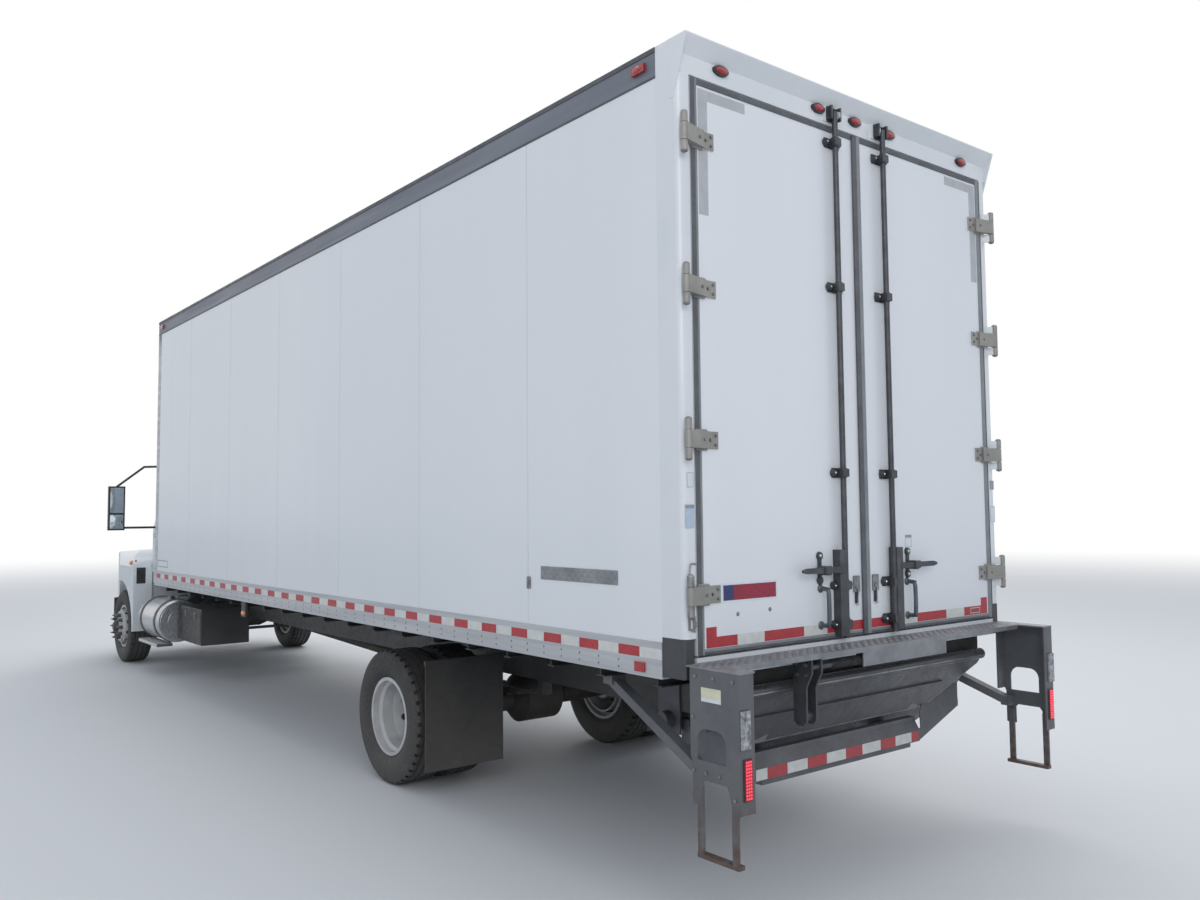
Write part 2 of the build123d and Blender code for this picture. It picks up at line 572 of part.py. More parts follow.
# Folded platform leaning under the dock plate: tapered flip plate in front of the main plate, fold tube,
# stiffening rib and shackle lugs
pack_plane = Plane(origin=(0, body_rear_y + pack_top[0], pack_top[1]), x_dir=(1, 0, 0),
                   z_dir=(0, -cos(radians(pack_tilt)), sin(radians(pack_tilt))))
with BuildPart() as lift_platform:
    for depth, start, shoulder, tip, tip_half_w in ((0, 0, 55, flip_l, flip_tip_half_w),
                                                    (plate_t, 30, flip_l, pack_l, main_tip_half_w)):
        with BuildSketch(pack_plane.offset(depth)):
            Polygon((-pack_half_w, -start), (pack_half_w, -start), (pack_half_w, -shoulder), (tip_half_w, -tip),
                    (-tip_half_w, -tip), (-pack_half_w, -shoulder), align=None)
        extrude(amount=plate_t)
    with BuildSketch(pack_plane):
        with Locations((0, -150)):
            Rectangle(2 * flip_tip_half_w + 60, 16)
    extrude(amount=-10)
    rod((-pack_half_w - 8, body_rear_y + pack_top[0] - 12, pack_top[1] + 12),
        (pack_half_w + 8, body_rear_y + pack_top[0] - 12, pack_top[1] + 12), fold_tube_r)
    for side in (1, -1):
        for x in (arm_x - arm_lug_x, arm_x + arm_lug_x):
            with BuildSketch(Plane.YZ.offset(side * x - 5)):
                Polygon((body_rear_y + platform_pivot[0] - 24, platform_pivot[1] - 24),
                        (body_rear_y + platform_pivot[0] - 24, platform_pivot[1] + 26),
                        (body_rear_y + platform_pivot[0] + 60, platform_pivot[1] + 90),
                        (body_rear_y + platform_pivot[0] + 80, platform_pivot[1] - 20), align=None)
            extrude(amount=10)
        with Locations(Location((side * arm_x, body_rear_y + platform_pivot[0], platform_pivot[1]), (0, 90, 0))):
            Cylinder(lift_pin_r, 2 * arm_lug_x + 10)
save("lift_platform", lift_platform.part)

# Under-ride bar behind the folded platform, on stays from its main plate, with wings under its tapered corners
bar_half_l = 690
wing_t = 8
with BuildPart() as under_ride_bar:
    with BuildSketch(Plane.YZ.offset(-bar_half_l)):
        Polygon((body_rear_y - 165, 497), (body_rear_y - 165, 560), (body_rear_y - 196, 612),
                (body_rear_y - 196, 630), (body_rear_y - 240, 630), (body_rear_y - 240, 497), align=None)
    extrude(amount=2 * bar_half_l)
    block((-bar_half_l + 70, bar_half_l - 70), (body_rear_y - 225, body_rear_y - 180), (470, 498))
    for side in (1, -1):
        block((side * 480, side * 560), (body_rear_y - 330, body_rear_y - 200), (520, 580))
        with BuildSketch(Plane.XZ.offset(165 - body_rear_y)):
            Polygon((side * (bar_half_l - 12), 497), (side * pack_half_w, 648), (side * pack_half_w, 690),
                    (side * (bar_half_l - 12), 560), align=None)
        extrude(amount=wing_t)
    add(lift_platform.part, mode=Mode.SUBTRACT)
save("under_ride_bar", under_ride_bar.part)

# Mud flaps behind the rear tyres
with BuildPart() as mud_flaps:
    for side in (1, -1):
        block((side * 640, side * 1225), (rear_axle_y + 560, rear_axle_y + 568), (180, 880))
        block((side * (frame_half_w + gap), side * 1225), (rear_axle_y + 545, rear_axle_y + 560), (850, 880))
save("mud_flaps", mud_flaps.part)


# Tyre and wheel sections, given as half widths from the rim's middle and radii from the axle
tyre_rows = ((rim_half_w - gap, rim_r + gap), (rim_half_w - gap, rim_flange_r + 1), (tyre_half_w - 6, 300),
             (tyre_half_w, 350), (tyre_half_w - 5, 400), (tyre_half_w - 19, tyre_r - 11.5),
             (rim_half_w + 1, tyre_r))
rim_rows = ((rim_half_w + 8, rim_flange_r), (rim_half_w, rim_flange_r), (rim_half_w, rim_r),
            (well_half_w + 16, rim_r), (well_half_w, well_r))
rim_inner_rows = ((rim_half_w + 8, rim_r - rim_t), (well_half_w + 20, rim_r - rim_t),
                  (well_half_w + 4, well_r - rim_t))
disc_root_x, disc_t = 20, 12
disc_shoulder_r = drum_r - 19
hand_hole_count = 10
hand_hole_r = 24
hand_hole_x = 105  # from the rim's middle towards the dished side


def tyre_section(cx):
    """Section of one tyre, with x across the truck and y out from the axle."""
    Polygon(*[(cx - x, r) for x, r in tyre_rows], *[(cx + x, r) for x, r in reversed(tyre_rows)], align=None)


def rim_profile(cx, dish):
    """Drop-centre rim with its disc; dish is +1 where the disc stands outboard of the rim, -1 inboard."""
    Polygon(*[(cx - x, r) for x, r in rim_rows], *[(cx + x, r) for x, r in reversed(rim_rows)],
            *[(cx + x, r) for x, r in rim_inner_rows], *[(cx - x, r) for x, r in reversed(rim_inner_rows)],
            align=None)
    Polygon((cx + dish * disc_root_x, well_r - 6), (cx + dish * (disc_root_x + disc_t + 2), well_r - 6),
            (cx + dish * hub_offset, disc_shoulder_r), (cx + dish * hub_offset, disc_bore_r),
            (cx + dish * (hub_offset - disc_t), disc_bore_r),
            (cx + dish * (hub_offset - disc_t), disc_shoulder_r - 6), align=None)


def hand_holes(cx, dish, axle_y):
    """Cuts the disc's hand holes, square to its cone, in the part being built."""
    for i in range(hand_hole_count):
        turn = radians(360 / hand_hole_count * (i + 0.5))
        out = Vector(0, cos(turn), sin(turn))
        with Locations(Plane(origin=Vector(cx + dish * hand_hole_x, axle_y, tyre_r) + out * (disc_shoulder_r + 10),
                             x_dir=(1, 0, 0), z_dir=out).location):
            Cylinder(hand_hole_r, 44, mode=Mode.SUBTRACT)


front_mount_x = front_track_x + hub_offset
with BuildPart() as front_tyre:
    with BuildSketch(axle_plane(front_axle_y)):
        tyre_section(front_track_x)
    revolve(axis=axle_axis(front_axle_y))
save_pair("front_tyre", front_tyre.part)

with BuildPart() as front_wheel:
    with BuildSketch(axle_plane(front_axle_y)):
        rim_profile(front_track_x, 1)
        Polygon((965, spindle_r + 0.5), (965, 70), (front_mount_x - 32, 100), (front_mount_x - 32, drum_r),
                (front_mount_x - 20, drum_r), (front_mount_x - 20, 165), (front_mount_x - 12, 165),
                (front_mount_x - 12, 100), (front_mount_x + 30, 88), (front_mount_x + 30, 0), (1185, 0),
                (1185, spindle_r + 0.5), align=None)
        Polygon((965, drum_r - 14), (965, drum_r), (front_mount_x - 25, drum_r), (front_mount_x - 25, drum_r - 14),
                align=None)
    revolve(axis=axle_axis(front_axle_y))
    wheel_face = Plane(origin=(front_mount_x, front_axle_y, tyre_r), x_dir=(0, 1, 0), z_dir=(1, 0, 0))
    with BuildSketch(wheel_face.offset(-gap)):
        with PolarLocations(lug_pcd_r, lug_count):
            RegularPolygon(lug_r, 6)
    extrude(amount=34)
    hand_holes(front_track_x, 1, front_axle_y)
save_pair("front_wheel", front_wheel.part)

rear_outer_x = rear_mount_x + hub_offset
rear_inner_x = rear_mount_x - hub_offset
with BuildPart() as rear_tyres:
    with BuildSketch(axle_plane(rear_axle_y)):
        tyre_section(rear_outer_x)
        tyre_section(rear_inner_x)
    revolve(axis=axle_axis(rear_axle_y))
save_pair("rear_tyres", rear_tyres.part)

with BuildPart() as rear_wheel:
    with BuildSketch(axle_plane(rear_axle_y)):
        rim_profile(rear_outer_x, -1)
        rim_profile(rear_inner_x, 1)
        Polygon((660, rear_spindle_r + 0.5), (660, 100), (rear_mount_x - 24, 105), (rear_mount_x - 24, drum_r - 25),
                (rear_mount_x - 12, drum_r - 25), (rear_mount_x - 12, 165), (rear_mount_x - 10, 165),
                (rear_mount_x - 10, 105), (rear_mount_x + 20, 105), (rear_mount_x + 20, 92),
                (rear_mount_x + 70, 80), (rear_mount_x + 70, 0), (rear_mount_x + 40, 0),
                (rear_mount_x + 40, rear_spindle_r + 0.5), align=None)
        Polygon((650, drum_r - 14), (650, drum_r), (880, drum_r), (rear_mount_x - 12, drum_r - 25),
                (rear_mount_x - 24, drum_r - 36), (876, drum_r - 14), align=None)
    revolve(axis=axle_axis(rear_axle_y))
    wheel_face = Plane(origin=(rear_mount_x, rear_axle_y, tyre_r), x_dir=(0, 1, 0), z_dir=(1, 0, 0))
    with BuildSketch(wheel_face.offset(12 - gap)):
        with PolarLocations(lug_pcd_r, lug_count):
            RegularPolygon(lug_r, 6)
    extrude(amount=34)
    hand_holes(rear_outer_x, -1, rear_axle_y)
    hand_holes(rear_inner_x, 1, rear_axle_y)
save_pair("rear_wheels", rear_wheel.part)

# Front axle: dropped forged beam with kingpin eyes
beam_eye_r = 48
kingpin_r = 22
with BuildPart() as front_axle:
    with BuildSketch(axle_plane(front_axle_y).offset(-45)):
        Polygon((-(kingpin_x), 0), (-(kingpin_x), -48), (-700, -60), (-560, -115), (560, -115), (700, -60),
                (kingpin_x, -48), (kingpin_x, 45), (720, 20), (560, -30), (-560, -30), (-720, 20),
                (-kingpin_x, 45), align=None)
    extrude(amount=90)
    for side in (1, -1):
        with Locations((side * kingpin_x, front_axle_y, tyre_r)):
            Cylinder(beam_eye_r, 96)
            Cylinder(kingpin_r + gap, 120, mode=Mode.SUBTRACT)
save("front_axle", front_axle.part)

# Knuckle: fork round the axle eye, spindle, shield and steering arm
arm_reach = (0, 200)
with BuildPart() as knuckle:
    with Locations((kingpin_x, front_axle_y, tyre_r)):
        Cylinder(kingpin_r, 160)
    for end in (1, -1):
        with Locations((kingpin_x, front_axle_y, tyre_r + end * (48 + run_gap + 22))):
            Cylinder(46, 44)
        block((kingpin_x, kingpin_x + 84), (front_axle_y - 40, front_axle_y + 40),
              (tyre_r + end * (48 + run_gap), tyre_r + end * (48 + run_gap + 44)))
    block((kingpin_x + beam_eye_r + run_gap + 8, kingpin_x + 84), (front_axle_y - 55, front_axle_y + 55),
          (tyre_r - 98, tyre_r + 98))
    with Locations(Location((kingpin_x + 84, front_axle_y, tyre_r), (0, 90, 0))):
        Cylinder(drum_r - 22, 6, align=(Align.CENTER, Align.CENTER, Align.MAX))
    with Locations(Location((kingpin_x + 83, front_axle_y, tyre_r), (0, 90, 0))):
        Cylinder(spindle_r, 1180 - kingpin_x - 83, align=(Align.CENTER, Align.CENTER, Align.MIN))
    with BuildSketch(Plane.XY.offset(tyre_r - 98)):
        Polygon((kingpin_x - 20, front_axle_y + 30), (kingpin_x + 30, front_axle_y + 40),
                (kingpin_x - arm_reach[0] + 24, front_axle_y + arm_reach[1] + 10),
                (kingpin_x - arm_reach[0] - 24, front_axle_y + arm_reach[1] + 10), align=None)
        with Locations((kingpin_x - arm_reach[0], front_axle_y + arm_reach[1])):
            Circle(26)
            Circle(10 + gap, mode=Mode.SUBTRACT)
    extrude(amount=30)
save_pair("knuckle", knuckle.part)

# Tie rod with its ball ends under the steering arms
tie_y = front_axle_y + arm_reach[1]
tie_half_l = kingpin_x - arm_reach[0]
tie_rod_z = tyre_r - 98 - 30
with BuildPart() as tie_rod:
    with Locations(Location((0, tie_y, tie_rod_z), (0, 90, 0))):
        Cylinder(19, 2 * tie_half_l)
    for side in (1, -1):
        with Locations((side * tie_half_l, tie_y, tie_rod_z)):
            Cylinder(27, 44)
        with Locations((side * tie_half_l, tie_y, tie_rod_z + 20)):
            Cylinder(10, 60, align=(Align.CENTER, Align.CENTER, Align.MIN))
save("tie_rod", tie_rod.part)

# Rear axle: housing with differential bowl and spindles
with BuildPart() as rear_axle:
    with BuildSketch(axle_plane(rear_axle_y)):
        Polygon((-1120 + 180, 0), (-940, rear_spindle_r), (-640, rear_spindle_r), (-640, 78), (-230, 85),
                (-150, 175), (150, 175), (230, 85), (640, 78), (640, rear_spindle_r), (940, rear_spindle_r),
                (940, 0), align=None)
    revolve(axis=axle_axis(rear_axle_y))
    with Locations(Location((0, rear_axle_y - 100, tyre_r), (90, 0, 0))):
        Cone(150, 80, 260)
    for side in (1, -1):
        block((side * (frame_half_w - flange_w), side * frame_half_w), (rear_axle_y - 65, rear_axle_y + 65),
              (tyre_r + 30, tyre_r + 85))
save("rear_axle", rear_axle.part)

# Leaf springs: arched packs with stepped leaves and their hangers
# Each row: axle y, seat height, eye height, half length
spring_table = (
    (front_axle_y, tyre_r - 30 + gap, 610, 640),
    (rear_axle_y, tyre_r + 85 + gap, 625, 700),
)
spring_x = frame_half_w - flange_w / 2
with BuildPart() as springs:
    for axle_y, seat_z, eye_z, half_l in spring_table:
        with BuildSketch(Plane.YZ.offset(spring_x - 37)):
            for leaf, share in enumerate((1.0, 0.82, 0.62, 0.42)):
                drop = (eye_z - seat_z - 55) * share * share
                low = seat_z + 42 - leaf * 14
                with BuildLine():
                    ThreePointArc((axle_y - half_l * share, low + drop), (axle_y, low), (axle_y + half_l * share, low + drop))
                    Line((axle_y + half_l * share, low + drop), (axle_y + half_l * share, low + drop + 15))
                    ThreePointArc((axle_y + half_l * share, low + drop + 15), (axle_y, low + 15),
                                  (axle_y - half_l * share, low + drop + 15))
                    Line((axle_y - half_l * share, low + drop + 15), (axle_y - half_l * share, low + drop))
                make_face()
            with Locations((axle_y, seat_z + 35)):
                Rectangle(130, 70)
        extrude(amount=74)
        for end in (1, -1):
            block((spring_x - 37, spring_x + 37), (axle_y + end * (half_l - 25), axle_y + end * (half_l + 35)),
                  (eye_z - 30, frame_low_z - gap))
    mirror(about=Plane.YZ)
save("springs", springs.part)

# Engine block, closed in under the hood
with BuildPart() as engine:
    block((-300, 300), (firewall_y - 1040, firewall_y - 40), (590, 1340))
    chamfer(engine.edges().filter_by(Axis.Y), 90)
    mount_x = frame_half_w - frame_t - gap
    block((-mount_x, mount_x), (firewall_y - 560, firewall_y - 440), (760, 800))
save("engine", engine.part)

# Gearbox and propeller shaft
gearbox_y = (firewall_y - 40 + gap, firewall_y + 720)
gearbox_z = 690
shaft_front = (gearbox_y[1] + gap + 4, gearbox_z - 20)
shaft_rear = (rear_axle_y - 230 - 10, tyre_r + 10)
shaft_len = sqrt((shaft_rear[0] - shaft_front[0]) ** 2 + (shaft_rear[1] - shaft_front[1]) ** 2)
with BuildPart() as driveline:
    with Locations(Location((0, (gearbox_y[0] + gearbox_y[1]) / 2, gearbox_z), (-90, 0, 0))):
        Cone(215, 105, gearbox_y[1] - gearbox_y[0])
    shaft_plane = Plane(origin=(0, shaft_front[0], shaft_front[1]), x_dir=(1, 0, 0),
                        z_dir=(0, shaft_rear[0] - shaft_front[0], shaft_rear[1] - shaft_front[1]))
    with BuildSketch(shaft_plane):
        Circle(45)
    extrude(amount=shaft_len)
    block((-60, 60), (gearbox_y[1] + gap, gearbox_y[1] + 24), (gearbox_z - 80, gearbox_z + 40))
save("driveline", driveline.part)

# Cab: side outline and front outline give its outer form, the same ones set in give the room inside
screen_low = (firewall_y, 1660)
screen_high = (firewall_y + 340, cab_roof_z - 110)


def cab_form(inset):
    """Solid of the cab's form, set in by the wall thickness."""
    low, top, half = cab_floor_z + inset, cab_roof_z - inset, cab_half_w - inset
    front, rear = firewall_y + inset, cab_rear_y - inset
    with BuildPart() as form:
        with BuildSketch(Plane.YZ.offset(-half)):
            with BuildLine():
                Polyline((front, low), (front, screen_low[1]), (screen_high[0] + inset, screen_high[1] - inset / 2))
                ThreePointArc((screen_high[0] + inset, screen_high[1] - inset / 2),
                              (screen_high[0] + 120 + inset, top - 18), (screen_high[0] + 330, top))
                Polyline((screen_high[0] + 330, top), (rear - 90, top), (rear, top - 110), (rear, low),
                         (front, low))
            make_face()
        extrude(amount=2 * half)
        with BuildSketch(Plane.XZ.offset(-cab_rear_y)):
            with BuildLine():
                Polyline((-half, low), (-half, belt_z), (-half + 95, top - 130))
                ThreePointArc((-half + 95, top - 130), (-half + 145, top - 35), (-half + 260, top))
                Line((-half + 260, top), (half - 260, top))
                ThreePointArc((half - 260, top), (half - 145, top - 35), (half - 95, top - 130))
                Polyline((half - 95, top - 130), (half, belt_z), (half, low), (-half, low))
            make_face()
        extrude(amount=1300, mode=Mode.INTERSECT)
    return form.part


cab_outer = cab_form(0)
cab_room = cab_form(cab_t)
door_front_y = firewall_y + 115
door_rear_y = cab_rear_y - 150
cab_door_low_z = cab_floor_z + cab_t + 10
door_top_z = cab_roof_z - 160
door_in_x = cab_half_w - 195
hinge_pin_x = cab_half_w + 17
hinge_pin_y = door_front_y - 3
door_hinge_heights = (1180, 1590)
roof_cut_z = cab_roof_z - 120
screen_l = 800  # opening's height along the slope
window_low_z = belt_z + 25


def door_outline(grow):
    """Cab door outline in the side plane, with its front edge along the raked pillar."""
    Polygon((door_front_y - grow, cab_door_low_z - grow), (door_rear_y + grow, cab_door_low_z - grow),
            (door_rear_y + grow, door_top_z + grow), (door_front_y + 330 - grow, door_top_z + grow),
            (door_front_y - grow, belt_z + 20), align=None)


def window_outline(grow):
    """Side window outline within the door."""
    Polygon((door_front_y + 75 - grow, window_low_z - grow), (door_rear_y - 60 + grow, window_low_z - grow),
            (door_rear_y - 60 + grow, door_top_z - 60 + grow), (door_front_y + 355 - grow, door_top_z - 60 + grow),
            align=None)


with BuildPart() as cab_shell:
    add(cab_outer)
    add(cab_room, mode=Mode.SUBTRACT)
    with BuildSketch(Plane.YZ.offset(-cab_half_w - 50)):
        door_outline(run_gap)
    extrude(amount=2 * cab_half_w + 100, mode=Mode.SUBTRACT)
    block((-2000, 2000), (firewall_y - 500, cab_rear_y + 10), (roof_cut_z, cab_roof_z + 50), mode=Mode.SUBTRACT)
    screen_plane = Plane(origin=(0, screen_low[0], screen_low[1]), x_dir=(1, 0, 0),
                         z_dir=(0, -(screen_high[1] - screen_low[1]), screen_high[0] - screen_low[0]))
    with BuildSketch(screen_plane.offset(150)):
        Polygon((-850, 40), (850, 40), (770, screen_l), (-770, screen_l), align=None)
    extrude(amount=-320, mode=Mode.SUBTRACT)
    block((-560, 560), (cab_rear_y - cab_t - 10, cab_rear_y + 10), (1800, 2180), mode=Mode.SUBTRACT)
    for side in (1, -1):
        for y in (firewall_y + 120, cab_rear_y - 110):
            block((side * (frame_half_w - flange_w), side * frame_half_w), (y - 50, y + 50),
                  (frame_top_z + gap, cab_floor_z + 1))
        for z in door_hinge_heights:
            for low in (z - 32, z + 12):
                block((side * (cab_half_w - 1), side * hinge_pin_x), (hinge_pin_y - 44, hinge_pin_y), (low, low + 20))
                with Locations((side * hinge_pin_x, hinge_pin_y, low + 10)):
                    Cylinder(12, 20)
            with Locations((side * hinge_pin_x, hinge_pin_y, z)):
                Cylinder(6, 64)
save("cab_shell", cab_shell.part)

with BuildPart() as cab_roof:
    add(cab_outer)
    add(cab_room, mode=Mode.SUBTRACT)
    block((-2000, 2000), (firewall_y - 500, cab_rear_y + 500), (roof_cut_z + gap, cab_roof_z + 50),
          mode=Mode.INTERSECT)
save("cab_roof", cab_roof.part)

# Windscreen and rear window
with BuildPart() as cab_glass:
    with BuildSketch(screen_plane.offset(-12)):
        Polygon((-850 + gap, 40 + gap), (850 - gap, 40 + gap), (770 - gap, screen_l - gap),
                (-770 + gap, screen_l - gap), align=None)
    extrude(amount=-8)
    block((-560 + gap, 560 - gap), (cab_rear_y - 30, cab_rear_y - 24), (1800 + gap, 2180 - gap))
save("cab_glass", cab_glass.part)

# Cab doors: cut from the same form, windows open
with BuildPart() as cab_door:
    add(cab_outer)
    add(cab_room, mode=Mode.SUBTRACT)
    with BuildSketch(Plane.YZ.offset(door_in_x)):
        door_outline(0)
    extrude(amount=cab_half_w - door_in_x, mode=Mode.INTERSECT)
    with BuildSketch(Plane.YZ.offset(door_in_x)):
        window_outline(0)
    extrude(amount=cab_half_w - door_in_x, mode=Mode.SUBTRACT)
    with BuildSketch(Plane.XY.offset(cab_floor_z)):
        Polygon((cab_half_w, door_rear_y), (cab_half_w, door_front_y), (door_in_x, door_front_y),
                (door_in_x, door_rear_y - 28), align=None)
    extrude(amount=cab_roof_z - cab_floor_z, mode=Mode.INTERSECT)
    for z in door_hinge_heights:
        block((cab_half_w - 1, hinge_pin_x), (hinge_pin_y + 3, hinge_pin_y + 48), (z - 11, z + 11))
        with Locations((hinge_pin_x, hinge_pin_y, z)):
            Cylinder(12, 22)
            Cylinder(6 + gap, 22, mode=Mode.SUBTRACT)
save_pair("cab_door", cab_door.part)

with BuildPart() as door_glass:
    add(cab_form(20))
    add(cab_form(26), mode=Mode.SUBTRACT)
    with BuildSketch(Plane.YZ.offset(door_in_x)):
        window_outline(-gap)
    extrude(amount=cab_half_w - door_in_x, mode=Mode.INTERSECT)
save_pair("door_glass", door_glass.part)

# Mirrors: tall head on a lower arm and an upper loop that reaches over to the door's frame
mirror_y = door_front_y + 60
mirror_x = (1350, 1530)
mirror_z = (1660, 2185)
mirror_arm_r = 13
loop_points = ((1440, mirror_y, mirror_z[1] - 5), (1157, mirror_y + 90, door_top_z + 21),
               (1006, mirror_y + 190, door_top_z + 24), (cab_half_w - 95, door_front_y + 345, door_top_z - 25))
with BuildPart() as door_mirror:
    with BuildSketch(Plane.XY.offset(mirror_z[0])):
        Polygon((mirror_x[0], mirror_y + 30), (mirror_x[1], mirror_y + 30), (mirror_x[1], mirror_y - 20),
                (mirror_x[1] - 40, mirror_y - 60), (mirror_x[0] + 40, mirror_y - 60), (mirror_x[0], mirror_y - 20),
                align=None)
    extrude(amount=mirror_z[1] - mirror_z[0])
    rod((cab_half_w - 6, mirror_y, mirror_z[0] + 30), (mirror_x[0] + 2, mirror_y, mirror_z[0] + 30), mirror_arm_r)
    for start, end in zip(loop_points[:-1], loop_points[1:]):
        rod(start, end, mirror_arm_r)
    for point in loop_points[1:-1]:
        with Locations(point):
            Sphere(mirror_arm_r)
    add(cab_form(-gap), mode=Mode.SUBTRACT)
save_pair("mirror", door_mirror.part)

# Dashboard with steering wheel
with BuildPart() as dashboard:
    with BuildSketch(Plane.YZ.offset(-880)):
        Polygon((firewall_y + cab_t + gap, 1380), (firewall_y + cab_t + gap, 1580), (firewall_y + 120, 1640),
                (firewall_y + 330, 1570), (firewall_y + 310, 1400), align=None)
    extrude(amount=1760)
    wheel_plane = Plane(origin=(430, firewall_y + 330, 1650), x_dir=(1, 0, 0), z_dir=(0, 0.6, 0.8))
    with BuildSketch(wheel_plane.offset(-260)):
        Circle(22)
    extrude(amount=262)
    with BuildSketch(wheel_plane.offset(-12)):
        Circle(225)
        Circle(200, mode=Mode.SUBTRACT)
        Circle(60)
        with PolarLocations(0, 3):
            with Locations((105, 0)):
                Rectangle(210, 30)
    extrude(amount=24)
save("dashboard", dashboard.part)

# Seats
with BuildPart() as seats:
    for x in (430, -430):
        with BuildSketch(Plane.YZ.offset(x - 250)):
            Polygon((cab_rear_y - 720, 1330), (cab_rear_y - 720, 1450), (cab_rear_y - 280, 1430),
                    (cab_rear_y - 190, 2050), (cab_rear_y - 80, 2040), (cab_rear_y - 190, 1330), align=None)
        extrude(amount=500)
        block((x - 180, x + 180), (cab_rear_y - 640, cab_rear_y - 240), (cab_floor_z + cab_t + gap, 1331))
save("seats", seats.part)

# Hood and fenders: side, front and plan outlines together give each form
hood_half_w = 620
lamp_x = (hood_half_w + 20, fender_half_w - 320)
hinge_x, hinge_y, hinge_z, hinge_r = 400, nose_y - 18, hood_low_z - 18, 9
with BuildPart() as hood:
    with BuildSketch(Plane.YZ.offset(500)):
        with BuildLine():
            Polyline((nose_y, hood_low_z), (nose_y, 1080))
            ThreePointArc((nose_y, 1080), (nose_y + 150, 1290), (nose_y + 430, 1370))
            Line((nose_y + 430, 1370), (front_axle_y + 120, 1400))
            ThreePointArc((front_axle_y + 120, 1400), (skirt_y - 120, 1310), (skirt_y, 1120))
            Polyline((skirt_y, 1120), (skirt_y, 430), (skirt_y - 45, 430), (skirt_y - 45, tyre_r))
            ThreePointArc((skirt_y - 45, tyre_r), (front_axle_y, tyre_r + arch_r),
                          (front_axle_y - sqrt(arch_r ** 2 - (hood_low_z - tyre_r) ** 2), hood_low_z))
            Line((front_axle_y - sqrt(arch_r ** 2 - (hood_low_z - tyre_r) ** 2), hood_low_z), (nose_y, hood_low_z))
        make_face()
    extrude(amount=fender_half_w - 500)
    with BuildSketch(Plane.XZ.offset(-(skirt_y + 10))):
        with BuildLine():
            Polyline((500, 400), (500, 1410), (fender_half_w - 200, 1410))
            ThreePointArc((fender_half_w - 200, 1410), (fender_half_w - 60, 1345), (fender_half_w, 1180))
            Polyline((fender_half_w, 1180), (fender_half_w, 400), (500, 400))
        make_face()
    extrude(amount=skirt_y - nose_y + 20, mode=Mode.INTERSECT)
    with BuildSketch(Plane.XY.offset(300)):
        with BuildLine():
            Polyline((500, nose_y), (fender_half_w - 320, nose_y))
            ThreePointArc((fender_half_w - 320, nose_y), (fender_half_w - 180, nose_y + 100),
                          (fender_half_w - 115, nose_y + 330))
            Polyline((fender_half_w - 115, nose_y + 330), (fender_half_w, front_axle_y - 60),
                     (fender_half_w, skirt_y), (985, skirt_y), (985, hood_y), (500, hood_y), (500, nose_y))
        make_face()
    extrude(amount=1200, mode=Mode.INTERSECT)
    mirror(about=Plane.YZ)
    with BuildSketch(Plane.YZ.offset(-hood_half_w)):
        with BuildLine():
            Polyline((nose_y, hood_low_z), (nose_y, 1200))
            ThreePointArc((nose_y, 1200), (nose_y + 70, 1360), (nose_y + 240, 1430))
            Polyline((nose_y + 240, 1430), (hood_y, 1680), (hood_y, 1000), (nose_y + 300, 1000),
                     (nose_y + 300, hood_low_z), (nose_y, hood_low_z))
        make_face()
    extrude(amount=2 * hood_half_w)
    with BuildSketch(Plane.YZ.offset(-(hood_half_w - 100))):
        Polygon((nose_y + 35, hood_low_z - 10), (nose_y + 35, 1190), (nose_y + 250, 1395), (hood_y + 10, 1648),
                (hood_y + 10, 400), align=None)
    extrude(amount=2 * (hood_half_w - 100), mode=Mode.SUBTRACT)
    block((-430, 430), (nose_y - 10, nose_y + 40), (860, 1190), mode=Mode.SUBTRACT)
    for side in (1, -1):
        block((side * lamp_x[0], side * lamp_x[1]), (nose_y - 1, nose_y + 60), (880, 1060), mode=Mode.SUBTRACT)
    for side in (1, -1):
        for x in (hinge_x - 29, hinge_x + 29):
            with BuildSketch(Plane.YZ.offset(side * x - 10)):
                Polygon((nose_y, hood_low_z + 10), (nose_y + 34, hood_low_z + 10), (hinge_y + 14, hinge_z - 12),
                        (hinge_y - 12, hinge_z - 12), (hinge_y - 14, hinge_z + 4), align=None)
                with Locations((hinge_y, hinge_z)):
                    Circle(hinge_r + 7)
                    Circle(hinge_r + gap, mode=Mode.SUBTRACT)
            extrude(amount=20)
save("hood", hood.part)

# Grille slats in their frame
with BuildPart() as grille:
    block((-430 + gap, 430 - gap), (nose_y - 14, nose_y + 20), (860 + gap, 1190 - gap))
    block((-405, 405), (nose_y - 20, nose_y + 30), (885, 1165), mode=Mode.SUBTRACT)
    for i in range(5):
        block((-406, 406), (nose_y - 8, nose_y + 14), (915 + 50 * i, 935 + 50 * i))
save("grille", grille.part)

# Headlamps
with BuildPart() as headlamps:
    for side in (1, -1):
        block((side * (lamp_x[0] + gap), side * (lamp_x[1] - gap)), (nose_y - 12, nose_y + 60 - gap),
              (880 + gap, 1060 - gap))
save("headlamps", headlamps.part)

